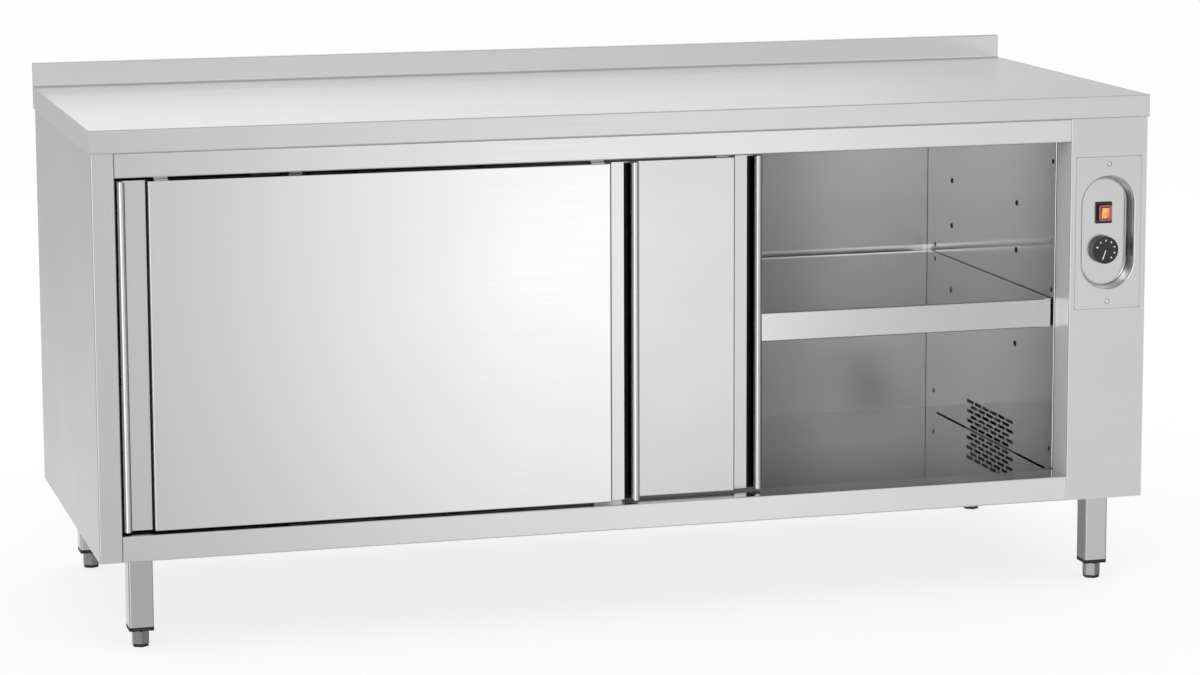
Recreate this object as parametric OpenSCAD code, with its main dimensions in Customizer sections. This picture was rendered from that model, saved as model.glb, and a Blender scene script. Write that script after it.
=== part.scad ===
// Plate warmer cabinet: a heated stainless cupboard that carries a worktop, with two sliding
// doors, one lift-off shelf and a control column at its right-hand end.
// Millimetres. X runs to the right, Y to the back and Z up, from the floor under the middle.

/* [Worktop] */
// Width of the worktop
top_w = 1800; // [1500:50:2200]
// Depth of the worktop
top_d = 700; // [600:10:800]
// Height of the working surface above the floor
top_h = 850; // [830:5:900]
// Height of the worktop's down-turned edges
top_edge = 38; // [32:1:50]
// Thickness of the worktop's sheet
top_sheet = 1.5; // [1:0.1:2]
// Width of the hem turned in under the edges
top_hem = 16; // [12:1:30]
// Height of the upstand behind the working surface
splash_h = 42; // [30:1:100]
// Thickness of the folded upstand
splash_t = 15; // [10:1:25]
// How far the upstand stops short of the right-hand end
splash_gap = 5; // [0:1:20]
// Radius of the cove at the foot of the upstand
splash_cove = 4; // [2:0.5:8]
// Thickness of the board bonded under the working surface
core_t = 18; // [12:1:25]

/* [Body] */
// Thickness of the body's sheet
sheet = 1; // [0.8:0.1:1.5]
// Setback of the body's sides below the worktop
side_gap = 2.5; // [0:0.5:10]
// Setback of the body's front below the worktop
front_gap = 3; // [2:0.5:10]
// Setback of the body's back below the worktop
back_gap = 2.5; // [0:0.5:10]
// Height of the body's underside above the floor
body_z = 155; // [140:5:180]
// Width of the stile to the left of the doors
stile_w = 37; // [30:1:60]
// Width of the control column
column_w = 139; // [130:1:180]
// Height of the rail above the doors
rail_top_h = 39; // [36:1:60]
// Height of the rail below the doors
rail_low_h = 42; // [36:1:60]
// Width of the flanges folded on the panels
flange = 14; // [10:1:20]
// Inside radius of the folded bends
bend_r = 1; // [0.6:0.1:2]

/* [Interior] */
// Gap between a jamb and the inner wall behind it
wall_gap = 7; // [2:0.5:10]
// Thickness of the insulation behind the inner back
back_ins = 8; // [4:1:30]
// Drop of the inner floor below the bottom rail
floor_drop = 5; // [0.5:0.5:8]
// Depth of the space between the inner ceiling and the worktop
ceiling_space = 27; // [20:1:40]
// Height of the air slot along the foot of the right-hand wall
air_slot_h = 2; // [1:0.5:3]
// Distance of the air slot's ends from the wall's front and back edges
air_slot_inset = [28, 59]; // [20:1:80]
// Distance of the front and back rivets from the wall's edges
rivet_inset = [12.5, 42]; // [11:0.5:60]
// Radius of a rivet's head
rivet_r = 4.5; // [3:0.5:6]
// Height of a rivet's head
rivet_h = 1.5; // [0.6:0.1:1.6]

/* [Grille] */
// Length of one slot
slot_l = 32.5; // [20:0.5:34]
// Height of one slot
slot_h = 6; // [4:0.5:7]
// Spacing of the slots along a row
slot_pitch = 38.4; // [38:0.1:44]
// Spacing of the rows
row_pitch = 9.1; // [8.5:0.1:12]
// Number of rows
slot_rows = 6; // [2:1:6]
// Number of slots in the longer rows
slot_count = 6; // [3:1:6]
// Height of the lowest row's middle above the inner floor
grille_rise = 6.7; // [6.6:0.1:12]
// Distance of the grille's middle in front of the wall's middle
grille_shift = 18; // [0:1:60]

/* [Doors] */
// Thickness of a door
door_t = 22; // [20:1:26]
// Thickness of a door's sheet
door_sheet = 1; // [0.8:0.1:1.2]
// Setback of the front door behind the body's front
door_setback = 7; // [4:0.5:12]
// Gap between the front and the rear door
door_gap = 5; // [4:0.5:10]
// Gap between a shut door and its jamb
door_side_gap = 4; // [2:0.5:8]
// Gap under a door
door_foot_gap = 4.5; // [3:0.5:8]
// Gap above a door
door_head_gap = 7; // [5:0.5:10]
// Space between the rear door and the ends of the jambs
door_back_gap = 4; // [4:0.5:12]
// How far the two doors overlap when both are shut
door_overlap = 105; // [102:1:160]
// How far the right-hand door stands open
right_door_open = 532; // [0:1:600]
// Width of the pull strip along each upright edge
grip_w = 50; // [40:1:60]
// Depth of the recess beside the pull
grip_depth = 15; // [14:0.5:16]
// Width of the groove beside the right-hand pull
groove_w = 10; // [7:0.5:11]
// Diameter of the rolled pull
bead_d = 14; // [10:0.5:15]
// How far the roll turns in past its widest point, in degrees
bead_curl = 40; // [10:5:60]
// Radius at the pull's ends
bead_end_r = 5; // [2:0.5:6]

/* [Door gear] */
// Radius of a door's roller
roller_r = 11; // [9:0.5:12]
// Width of a roller
roller_w = 7; // [5:0.5:8]
// Radius of a roller's axle
axle_r = 3; // [2:0.5:4]
// Width of a hanger
hanger_w = 22; // [20:1:30]
// Distance of a hanger's middle from the door's edge
hanger_inset = 71; // [65:1:120]
// Thickness of a hanger's plate
hanger_t = 2; // [1.5:0.5:3]
// Distance of a hanger's plate behind the door's face
hanger_depth = 8; // [6:0.5:9]
// Thickness of the track's sheet
track_t = 1.5; // [1:0.1:2]
// Height of the track's running ledge above the door opening
ledge_rise = 9; // [6:0.5:10]
// Length of a stop block on the track
stop_l = 10; // [6:1:20]
// Length of a guide fin under the doors
guide_l = 48; // [30:2:50]
// Height of a guide fin inside a door
guide_bite = 8; // [5:0.5:12]

/* [Shelf] */
// Gap between the shelf and each side wall
shelf_side_gap = 2; // [1.8:0.1:4]
// Distance of the shelf behind the inner walls' front edge
shelf_front_gap = 1; // [1:0.5:20]
// Gap behind the shelf
shelf_back_gap = 26; // [10:1:60]
// Height of the shelf's flanges
shelf_h = 49; // [40:1:60]
// Width of the corner cut away from the front flange
shelf_notch = 15; // [10:1:20]
// Height of the lowest row of studs above the inner floor
stud_rise = 196; // [160:1:220]
// Spacing of the stud rows
stud_pitch = 83.5; // [70:0.5:95]
// Number of stud rows
stud_rows = 4; // [3:1:4]
// The row that carries the shelf, counted up from 1
shelf_row = 2; // [1:1:3]
// Depth of the studs' axes below the shelf's top
stud_drop = 23.5; // [18:0.5:30]
// Radius of a stud's shoulder
stud_r = 4; // [3:0.5:5]
// Radius of a stud's head
stud_head_r = 7; // [6:0.5:9]
// Distance of the front studs behind the inner walls' front edge
stud_front = 174; // [120:0.5:220]
// Distance between the front and the back studs
stud_span = 316; // [220:1:340]
// Height of the stiffeners under the shelf
stiffener_h = 18; // [10:1:24]
// Distance of the stiffeners' ends from the shelf's ends
stiffener_inset = 12; // [8:1:40]
// Distance of each stiffener's middle behind the shelf's front edge
stiffener_at = [122, 472]; // [60:1:560]

/* [Controls] */
// Width of the control plate
plate_w = 118; // [110:1:124]
// Height of the control plate
plate_h = 260; // [240:1:300]
// Depth of the control plate's middle below the body's top
plate_drop = 196; // [170:1:260]
// Distance between the plate's two screws
plate_screw_span = 236; // [222:1:238]
// Width of the pressed recess
pan_w = 94; // [84:1:98]
// Height of the pressed recess
pan_h = 192; // [180:1:200]
// Depth of the pressed recess
pan_depth = 22; // [18:0.5:26]
// Slope of the recess wall, in degrees
pan_draft = 11.8; // [5:0.1:15]
// Radius of the recess's front shoulder
pan_shoulder = 3; // [2:0.5:4]
// Radius round the recess's floor
pan_fillet = 4; // [2:0.5:6]
// Height of the switch above the middle of the plate
switch_rise = 32; // [28:1:40]
// Width of the switch's flange
switch_w = 30; // [28:1:34]
// Height of the switch's flange
switch_h = 37; // [34:1:42]
// Thickness of the switch's flange
switch_flange_t = 2.5; // [1.5:0.1:4]
// Height of the switch's collar above the recess's floor
collar_h = 10; // [9:0.5:12]
// Wall of the collar round the rocker
collar_wall = 1.8; // [1.6:0.1:2.4]
// Width of the rocker
rocker_w = 17.8; // [16:0.2:20]
// Radius of the rocker's round ends
rocker_r = 10.8; // [10:0.1:12]
// Swing of the rocker from one side to the other, in degrees
rocker_swing = 16; // [10:1:20]
// Drop of the knob's axis below the middle of the plate
knob_drop = 31.5; // [26:0.5:36]
// Radius of the knob
knob_r = 23.5; // [18:0.5:24]
// Height of the knob
knob_h = 12.5; // [10:0.5:14]
// Radius of the thermostat's spindle
spindle_r = 3; // [2.5:0.5:4]

/* [Heating] */
// Inside radius of the fan's duct
duct_r = 35; // [32:0.5:38]
// Radius of the fan's wheel
wheel_r = 25; // [20:0.5:27]
// Number of blades
blade_count = 24; // [12:1:30]
// Radial depth of a blade
blade_d = 7; // [5:0.5:9]
// Thickness of a blade
blade_t = 0.8; // [0.6:0.1:1.2]
// Radius of the fan's shaft
shaft_r = 4; // [3:0.5:5]
// Radius of the heating tube
heater_r = 3.25; // [3:0.25:4]
// Spacing of the heating tube's two runs
heater_pitch = 14; // [12:0.5:18]
// Length of the temperature feeler
sensor_l = 80; // [60:5:120]
// Height of the feeler above the fan's duct
sensor_rise = 40; // [20:5:80]
// Distance of the feeler behind the inner wall's front
sensor_inset = 40; // [20:1:60]
// Side of the fan's motor
motor_side = 50; // [40:1:60]
// Length of the fan's motor
motor_l = 34; // [25:1:50]

/* [Legs] */
// Side of a leg's square tube
leg_s = 40; // [35:1:50]
// Wall of a leg's tube
leg_t = 1.5; // [1.2:0.1:2]
// Inset of the left-hand legs from the body's side
leg_inset_left = 52; // [30:1:80]
// Inset of the right-hand legs from the body's side
leg_inset_right = 40; // [30:1:48]
// Inset of the front legs from the body's front
leg_inset_front = 50; // [30:1:80]
// Inset of the back legs from the body's back
leg_inset_back = 28; // [20:1:80]
// Height of the foot below the leg's insert
foot_h = 28; // [20:1:35]
// Width of the six-sided foot across its corners
foot_w = 30; // [24:1:36]
// Height of the foot's dark sole
sole_h = 5; // [3:0.5:8]
// Height of the insert that shows below the tube
insert_h = 6.2; // [4:0.2:10]
// Length of the insert inside the tube
plug_l = 22; // [15:1:30]
// Radius of the foot's stem
stem_r = 5; // [4:0.5:6]
// How far a foot can be screwed out
foot_travel = 50; // [20:5:60]

/* [Fits] */
// Gap between pieces that lie next to each other but move apart
gap = 0.3; // [0.2:0.05:0.4]
// Clearance between a shaft and the bore it turns in
run = 0.05; // [0.02:0.01:0.08]

/* [Hidden] */
$fn = 48;

steel = "#c9cac8";
steel_dark = "#8e9090";
black = "#1c1c1e";
nylon = "#ececea";
zinc = "#b9bcbe";
wool = "#d8c48a";
board = "#c7a878";
brass = "#c8a24a";
red = "#e23a22";

// Outer faces of the worktop and of the body below it
left = -top_w / 2;
right = top_w / 2;
front = -top_d / 2;
back = top_d / 2;
body_l = left + side_gap;
body_r = right - side_gap;
body_f = front + front_gap;
body_b = back - back_gap;
body_top = top_h - top_edge;
half = sheet / 2;

// The door opening in the body's front
open_l = body_l + stile_w;
open_r = body_r - column_w;
open_low = body_z + rail_low_h;
open_high = body_top - rail_top_h;
open_mid = (open_l + open_r) / 2;
jamb_d = door_setback + 2 * door_t + door_gap + door_back_gap;

// The heated interior
wall_f = body_f + jamb_d + wall_gap;
back_panel_y = body_b - 2 * sheet;
inner_b = back_panel_y - back_ins - sheet;
floor_z = open_low - floor_drop;
ceiling_z = body_top - ceiling_space;
lip = flange + sheet;

// The doors
door_w = (open_r - open_l - 2 * door_side_gap + door_overlap) / 2;
door_low = open_low + door_foot_gap;
door_high = open_high - door_head_gap;
door_h = door_high - door_low;
left_face_y = body_f + door_setback;
right_face_y = left_face_y + door_t + door_gap;
left_door_x = open_l + door_side_gap;
right_door_shut_x = open_r - door_side_gap - door_w;
right_door_x = right_door_shut_x - right_door_open;
bead_r = bead_d / 2;
face_r = 1.6;
grip_lap = 10;

// The door gear, as distances behind a door's face
ledge_z = open_high + ledge_rise;
axle_z = ledge_z + gap + roller_r;
collar_end = hanger_depth + hanger_t + 2;
roller_near = collar_end + gap;
roller_far = roller_near + roller_w;
axle_end = roller_far + gap + 1;
web_near = axle_end + gap;
track_roof = body_top - sheet - track_t;
fin_near = grip_depth + door_sheet + 0.5;
fin_far = door_t - door_sheet - 0.5;

// The shelf and its studs
shelf_l = open_l + shelf_side_gap;
shelf_r = open_r - shelf_side_gap;
shelf_f = wall_f + shelf_front_gap;
shelf_b = inner_b - shelf_back_gap;
stud_z = [for (i = [0 : stud_rows - 1]) floor_z + stud_rise + i * stud_pitch];
stud_y = [wall_f + stud_front, wall_f + stud_front + stud_span];
shelf_stud_z = stud_z[shelf_row - 1];
shelf_top = shelf_stud_z + stud_drop;
insert_rim_r = 5;
insert_rim_h = 0.8;
insert_barrel_r = 4;
insert_bore_r = 3;
insert_l = 12;
stud_head_t = 1.5;
stud_end = 8;
rivet_shank_r = 2.4;
rivet_shank_l = 6;
rivet_y = [wall_f + rivet_inset[0], inner_b - rivet_inset[1]];
rivet_z = [floor_z + 39, (floor_z + ceiling_z) / 2 + 20, ceiling_z - 54];

// The grille, in the wall beside the column
grille_y = (wall_f + inner_b) / 2 - grille_shift;
grille_low = floor_z + grille_rise;

// The controls
column_x = (open_r + body_r) / 2;
plate_y = body_f - sheet;
pan_floor_y = plate_y + pan_depth;
pan_spine = (pan_h - pan_w) / 2;
pan_rim_r = pan_w / 2 + pan_shoulder;
plate_z = body_top - plate_drop;
switch_z = plate_z + switch_rise;
collar_w = rocker_w + 2 * (gap + collar_wall);
collar_v = 2 * (rocker_r + gap + collar_wall);
switch_front_y = pan_floor_y - collar_h;
rocker_axis_y = switch_front_y + 3.5;
rocker_face = 5.5;
rocker_depth = 6;
pivot_r = 1.5;
knob_z = plate_z - knob_drop;
knob_front_y = pan_floor_y - 1 - knob_h;
bush_r = 5;
bush_h = 3;
thermostat_side = 46;
thermostat_l = 30;
screw_r = 4;

// The heating gear
wall_back_x = open_r + sheet;
duct_z = floor_z + duct_r + sheet;
duct_x = wall_back_x + duct_r + gap;
duct_l = slot_count * slot_pitch + 10;
duct_front = grille_y - duct_l / 2;
duct_back = grille_y + duct_l / 2;
wheel_gap = 10;
wheel_front = duct_front + wheel_gap;
wheel_l = duct_l - 2 * wheel_gap;
sensor_r = 3.5;
sensor_y = wall_f + sensor_inset;
sensor_x = wall_back_x + sensor_r;
tube_r = 1;
tube_z = knob_z - 10;
heater_x = wall_back_x + heater_r + 5;
heater_z = floor_z + sheet + heater_r + 5;

// The legs, as the middle of each tube
leg_top_t = 3;
leg_x = [body_l + leg_inset_left + leg_s / 2, body_r - leg_inset_right - leg_s / 2];
leg_y = [body_f + leg_inset_front + leg_s / 2, body_b - leg_inset_back - leg_s / 2];
insert_z = foot_h + gap;
leg_low = insert_z + insert_h;
leg_r = 3;
stem_l = foot_travel + insert_h + plug_l + 6;
gland_y = leg_y[1] - leg_s / 2 - 70;
gland_hole_r = 8;

function unit(v) = v / norm(v);
function low_corner(a, b) = [min(a[0], b[0]), min(a[1], b[1])];
function high_corner(a, b) = [max(a[0], b[0]), max(a[1], b[1])];

// A box from one corner to the opposite one
module block(low, high) {
    translate(low) cube(high - low);
}

// Stretches an outline of [Y, Z] points along X
module along_x(x0, x1) {
    translate([x0, 0, 0]) rotate([90, 0, 90]) linear_extrude(x1 - x0) children();
}

// Stretches an outline of [X, Z] points along Y
module along_y(y0, y1) {
    translate([0, y1, 0]) rotate([90, 0, 0]) linear_extrude(y1 - y0) children();
}

// Stretches an outline of [X, Y] points along Z
module along_z(z0, z1) {
    translate([0, 0, z0]) linear_extrude(z1 - z0) children();
}

// A round bar along X or along Y, between two places on that axis
module bar_x(x0, x1, y, z, r) {
    translate([x0, y, z]) rotate([0, 90, 0]) cylinder(h = x1 - x0, r = r);
}
module bar_y(y0, y1, x, z, r) {
    translate([x, y0, z]) rotate([-90, 0, 0]) cylinder(h = y1 - y0, r = r);
}
module bar_z(z0, z1, x, y, r) {
    translate([x, y, z0]) cylinder(h = z1 - z0, r = r);
}

// One straight run of a sheet seen on edge
module straight_run(a, b, t) {
    d = unit(b - a);
    across = [abs(d[1]), abs(d[0])] * t / 2;
    low = low_corner(a, b) - across;
    high = high_corner(a, b) + across;
    translate(low) square(high - low);
}

// The quarter turn of a sheet at the corner b of its path
module quarter_bend(a, b, c, r, t) {
    inward = unit(b - a);
    outward = unit(c - b);
    middle = b - inward * r + outward * r;
    corner = middle + (inward - outward) * (r + t);
    intersection() {
        translate(middle) difference() {
            circle(r + t / 2);
            circle(r - t / 2);
        }
        translate(low_corner(middle, corner))
            square(high_corner(middle, corner) - low_corner(middle, corner));
    }
}

// A folded sheet seen on edge, along the middle of its thickness, with right-angled corners
module folded(path, t = sheet) {
    last = len(path) - 1;
    r = bend_r + t / 2;
    for (i = [0 : last - 1]) {
        d = unit(path[i + 1] - path[i]);
        straight_run(i == 0 ? path[i] : path[i] + d * r,
            i == last - 1 ? path[i + 1] : path[i + 1] - d * r, t);
    }
    for (i = [1 : last - 1]) quarter_bend(path[i - 1], path[i], path[i + 1], r, t);
}

// A rectangle with its corner at the origin and its two near corners rounded
module soft_front(w, d, r) {
    translate([0, r]) square([w, d - r]);
    translate([r, 0]) square([w - 2 * r, d]);
    for (x = [r, w - r]) translate([x, r]) circle(r);
}

// A rectangle about the origin with all four corners rounded
module soft_square(w, d, r) {
    square([w, d - 2 * r], center = true);
    square([w - 2 * r, d], center = true);
    for (x = [-1, 1], y = [-1, 1]) translate([x * (w / 2 - r), y * (d / 2 - r)]) circle(r);
}

// An upright stadium about the origin
module stadium(r, spine) {
    square([2 * r, 2 * spine], center = true);
    for (s = [-1, 1]) translate([0, s * spine]) circle(r);
}

// --- Worktop ---

// The sheet goes from the front hem over the top and the upstand to the back hem
module worktop() {
    t = top_sheet;
    h = t / 2;
    low = body_top + h;
    slab = [[front + top_hem, low], [front + h, low], [front + h, top_h - h],
        [back - splash_t + h, top_h - h], [back - splash_t + h, top_h + splash_h - h],
        [back - h, top_h + splash_h - h], [back - h, low], [back - top_hem, low]];
    color(steel) difference() {
        union() {
            intersection() {
                union() {
                    along_x(left, right) folded(slab, t);
                    for (x = [left, right - t])
                        block([x, front + h, body_top], [x + t, back - h, top_h - h]);
                    for (x = [left, right - top_hem])
                        block([x, front + h, body_top], [x + top_hem, back - h, body_top + t]);
                }
                union() {
                    along_y(front - 1, back + 1) translate([left, top_h])
                        mirror([0, 1]) soft_front(top_w, top_edge, bend_r + t);
                    block([left, front, top_h - bend_r], [right, back, top_h + splash_h]);
                }
            }
            for (x = [left, right - splash_gap - t])
                block([x, back - splash_t + h, top_h - h], [x + t, back - h, top_h + splash_h - h]);
            along_x(left, right - splash_gap) difference() {
                translate([back - splash_t - splash_cove, top_h - h])
                    square([splash_cove + h, splash_cove + h]);
                translate([back - splash_t - splash_cove, top_h + splash_cove]) circle(splash_cove);
            }
        }
        block([right - splash_gap, back - splash_t - 1, top_h], [right + 1, back + 1, top_h + splash_h + 1]);
    }
}

module worktop_core() {
    c = top_sheet + bend_r;
    color(board) block([left + c, front + c, top_h - top_sheet - core_t],
        [right - c, back - splash_t - gap, top_h - top_sheet]);
}

// --- Outer body ---

// The left side wraps round the front as the stile and turns in as the jamb
module left_side_panel() {
    x = body_l + half;
    plan = [[x + flange, body_b - half], [x, body_b - half], [x, body_f + half],
        [open_l - half, body_f + half], [open_l - half, body_f + jamb_d]];
    color(steel) along_z(body_z, body_top) folded(plan);
}

module right_side_panel() {
    x = body_r - half;
    plan = [[x - flange, body_b - half], [x, body_b - half], [x, body_f + sheet]];
    color(steel) along_z(body_z, body_top) folded(plan);
}

// The front of the control column, with the jamb and the hole behind the control plate
module control_fascia() {
    plan = [[open_r + half, body_f + jamb_d], [open_r + half, body_f + half],
        [body_r, body_f + half]];
    color(steel) difference() {
        along_z(body_z, body_top) folded(plan);
        along_y(body_f - 1, body_f + sheet + 1) translate([column_x, plate_z])
            stadium(pan_rim_r + gap, pan_spine);
        for (s = [-1, 1]) bar_y(body_f - 1, body_f + sheet + 1, column_x,
            plate_z + s * plate_screw_span / 2, screw_r / 2);
    }
}

module top_rail() {
    y = body_f + half;
    color(steel) along_x(open_l + gap, open_r - gap) folded([[y + flange, open_high + half],
        [y, open_high + half], [y, body_top - half], [y + flange, body_top - half]]);
}

module bottom_rail() {
    y = body_f + half;
    sill = body_f + jamb_d - half;
    color(steel) along_x(open_l + gap, open_r - gap) folded([[y + flange, body_z + half],
        [y, body_z + half], [y, open_low - half], [sill, open_low - half], [sill, open_low - flange]]);
}

// The base, notched at its front round the two jambs
module base_pan() {
    l = body_l + sheet;
    r = body_r - sheet;
    z = body_z + sheet;
    front = body_f + sheet + bend_r;
    color(steel_dark) difference() {
        union() {
            along_y(front, back_panel_y) folded([[l + half, z + lip],
                [l + half, z + half], [r - half, z + half], [r - half, z + lip]]);
            along_x(l, r) translate([back_panel_y - sheet, z]) square([sheet, lip]);
        }
        bar_z(z - 1, z + sheet + 1, column_x, gland_y, gland_hole_r);
        for (x = [open_l - sheet, open_r])
            block([x - gap, front - 1, z - 1], [x + sheet + gap, body_f + jamb_d + gap, z + sheet + 1]);
    }
}

module back_panel() {
    color(steel) block([body_l + sheet + bend_r, back_panel_y, body_z + 2 * sheet],
        [open_r, back_panel_y + sheet, body_top]);
}

// The cover over the back of the control column, with rows of cooling slots
module service_cover() {
    slots = 7;
    w = body_r - open_r;
    color(steel) difference() {
        block([open_r + gap, back_panel_y, body_z + 2 * sheet],
            [body_r - sheet - bend_r, back_panel_y + sheet, body_top]);
        for (i = [0 : slots - 1], z = [body_z + 90, body_top - 120])
            block([open_r + w / 4, back_panel_y - 1, z + i * 9],
                [open_r + w * 3 / 4, back_panel_y + sheet + 1, z + i * 9 + 4]);
    }
}

// --- Interior ---

module inner_back() {
    color(steel) block([open_l - lip, inner_b, floor_z - sheet],
        [open_r + lip, inner_b + sheet, ceiling_z + sheet]);
}

// One inner wall: its face lies at x and its flanges turn away from the interior
module inner_wall(x, away) {
    face = x + away * half;
    difference() {
        along_z(floor_z, ceiling_z) folded([[face + away * flange, wall_f + half],
            [face, wall_f + half], [face, inner_b - half], [face + away * flange, inner_b - half]]);
        for (y = stud_y, z = stud_z) bar_x(x - 3, x + 3, y, z, insert_barrel_r + run);
        for (y = rivet_y, z = rivet_z) bar_x(x - 3, x + 3, y, z, rivet_shank_r + run);
    }
}

module inner_left_wall() {
    color(steel) inner_wall(open_l, -1);
}

// The slots lie like bricks: every second row is half a pitch over and one slot shorter
module grille_slots(x0, x1) {
    for (row = [0 : slot_rows - 1]) {
        n = slot_count - (row + slot_rows + 1) % 2;
        for (i = [0 : n - 1]) {
            y = grille_y + (i - (n - 1) / 2) * slot_pitch;
            z = grille_low + row * row_pitch;
            block([x0, y - slot_l / 2, z - slot_h / 2], [x1, y + slot_l / 2, z + slot_h / 2]);
        }
    }
}

module inner_right_wall() {
    color(steel) difference() {
        inner_wall(open_r, 1);
        grille_slots(open_r - 1, wall_back_x + 1);
        bar_y(wall_f - 1, wall_f + sheet + 1, sensor_x, tube_z, tube_r + run);
        block([open_r - 1, wall_f + air_slot_inset[0], floor_z - 1],
            [wall_back_x + 1, inner_b - air_slot_inset[1], floor_z + air_slot_h]);
    }
}

module inner_floor() {
    y = body_f + jamb_d;
    color(steel) along_x(open_l - lip, open_r + lip) folded([[y + half, floor_z - flange],
        [y + half, floor_z - half], [inner_b, floor_z - half]]);
}

module inner_ceiling() {
    color(steel) along_x(open_l - lip, open_r + lip) folded([[wall_f + half, ceiling_z + flange],
        [wall_f + half, ceiling_z + half], [inner_b, ceiling_z + half]]);
}

module insulation_boards() {
    z = body_z + 2 * sheet;
    c = 1;
    color(wool) {
        block([body_l + 2 * sheet + c, wall_f, z], [open_r, inner_b - c, floor_z - sheet]);
        block([body_l + sheet, wall_f + lip, floor_z],
            [open_l - insert_l - gap, inner_b - lip, ceiling_z]);
        block([open_l - lip + c, wall_f + lip, ceiling_z + sheet],
            [open_r, inner_b, body_top - c]);
        block([open_l - lip, inner_b + sheet, floor_z], [open_r, back_panel_y, ceiling_z]);
    }
}

module wall_rivets() {
    color(steel) for (y = rivet_y, z = rivet_z, side = [-1, 1]) {
        x = side < 0 ? open_l : open_r;
        translate([x, y, z]) rotate([0, -90 * side, 0]) {
            translate([0, 0, -rivet_shank_l]) cylinder(h = rivet_shank_l, r = rivet_shank_r);
            dome(rivet_r, rivet_h);
        }
    }
}

// A shallow cap of radius r and height h, on the plane Z = 0
module dome(r, h) {
    ball = (r * r + h * h) / (2 * h);
    intersection() {
        translate([0, 0, h - ball]) sphere(ball);
        cylinder(h = h, r = r);
    }
}

// --- Shelf ---

module shelf() {
    z = shelf_top - half;
    low = shelf_top - shelf_h + half;
    hem = 12;
    tab_y = shelf_f + 3;
    round_r = bend_r + sheet;
    color(steel) difference() {
        union() {
            along_x(shelf_l + shelf_notch, shelf_r - shelf_notch) folded([
                [shelf_f + hem, low], [shelf_f + half, low], [shelf_f + half, z],
                [shelf_b - half, z], [shelf_b - half, low], [shelf_b - hem, low]]);
            along_y(tab_y, shelf_b - 3) folded([[shelf_l + half, low - half], [shelf_l + half, z],
                [shelf_r - half, z], [shelf_r - half, low - half]]);
            block([shelf_l + round_r, shelf_f + round_r, shelf_top - sheet],
                [shelf_r - round_r, shelf_b - round_r, shelf_top]);
            for (x = [shelf_l, shelf_r - shelf_notch + 1])
                block([x, tab_y, low - half], [x + shelf_notch - 1, tab_y + sheet, shelf_top - sheet]);
        }
        for (y = stud_y) along_x(shelf_l - 1, shelf_r + 1) {
            translate([y, shelf_stud_z]) circle(stud_r + gap);
            translate([y - stud_r - gap, shelf_top - shelf_h - 1])
                square([2 * (stud_r + gap), shelf_stud_z - shelf_top + shelf_h + 1]);
        }
    }
}

// Two hat sections under the shelf
module shelf_stiffeners() {
    z = shelf_top - sheet - half;
    web = 16;
    brim = 14;
    color(steel) for (at = stiffener_at) {
        y = shelf_f + at;
        along_x(shelf_l + stiffener_inset, shelf_r - stiffener_inset) folded([[y - web - brim, z], [y - web, z],
            [y - web, z - stiffener_h], [y + web, z - stiffener_h], [y + web, z], [y + web + brim, z]]);
    }
}

// Threaded inserts in the walls, a column of them behind each line of studs
module shelf_inserts() {
    color(zinc) for (y = stud_y, z = stud_z, side = [-1, 1]) {
        x = side < 0 ? open_l : open_r;
        translate([x, y, z]) rotate([0, -90 * side, 0]) difference() {
            union() {
                cylinder(h = insert_rim_h, r = insert_rim_r);
                translate([0, 0, -insert_l]) cylinder(h = insert_l, r = insert_barrel_r);
            }
            translate([0, 0, -insert_l - 1]) cylinder(h = insert_l + insert_rim_h + 2, r = insert_bore_r);
        }
    }
}

module shelf_studs() {
    shoulder = stud_end - stud_head_t - insert_rim_h;
    color(zinc) for (y = stud_y, side = [-1, 1]) {
        x = side < 0 ? open_l : open_r;
        translate([x, y, shelf_stud_z]) rotate([0, -90 * side, 0]) {
            translate([0, 0, -insert_l]) cylinder(h = insert_l + insert_rim_h, r = insert_bore_r - run);
            translate([0, 0, insert_rim_h]) cylinder(h = shoulder, r = stud_r);
            translate([0, 0, stud_end - stud_head_t]) cylinder(h = stud_head_t, r = stud_head_r);
        }
    }
}

// --- Door gear on the body ---

// A roof under the top rail's flange, with a web and a running ledge behind each door's hangers
module door_track() {
    h = track_t / 2;
    color(zinc) along_x(open_l + gap, open_r - gap) {
        translate([body_f + lip - 3, track_roof])
            square([right_face_y + web_near + track_t - body_f - lip + 3, track_t]);
        for (f = [left_face_y, right_face_y]) {
            web = f + web_near + h;
            folded([[web - web_near + collar_end - h, ledge_z - h], [web, ledge_z - h],
                [web, track_roof + h]], track_t);
        }
    }
}

// Blocks on the ledges that the rollers meet when a door is fully shut or open
module track_stops() {
    far = hanger_inset - roller_r - gap;
    height = roller_r;
    color(black) for (f = [left_face_y, right_face_y]) {
        y = [f + roller_near, f + web_near - bend_r - gap];
        low_x = open_l + door_side_gap + far - stop_l;
        high_x = open_r - door_side_gap - far;
        for (x = [low_x, high_x])
            block([x, y[0], ledge_z], [x + stop_l, y[1], ledge_z + height]);
    }
}

// Two fins on the sill, one in the channel of each door
module door_guides() {
    color(nylon) for (f = [left_face_y, right_face_y]) {
        block([open_mid - guide_l / 2, f + fin_near, open_low],
            [open_mid + guide_l / 2, f + fin_far, door_low + guide_bite]);
        block([open_mid - guide_l / 2, f + fin_near - 5, open_low],
            [open_mid + guide_l / 2, f + fin_far, open_low + 1.5]);
    }
}

// --- Doors ---

// The raised middle of a door: a shallow tray with soft front edges
module door_face(x, f) {
    x0 = x + grip_w;
    w = door_w - 2 * grip_w;
    t = door_sheet;
    difference() {
        intersection() {
            along_z(door_low, door_high) translate([x0, f]) soft_front(w, grip_depth, face_r);
            along_x(x0, x0 + w) translate([f, door_low]) mirror([1, -1])
                soft_front(door_h, grip_depth, face_r);
        }
        block([x0 + t, f + t, door_low + t], [x0 + w - t, f + grip_depth + 1, door_high - t]);
    }
}

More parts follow.
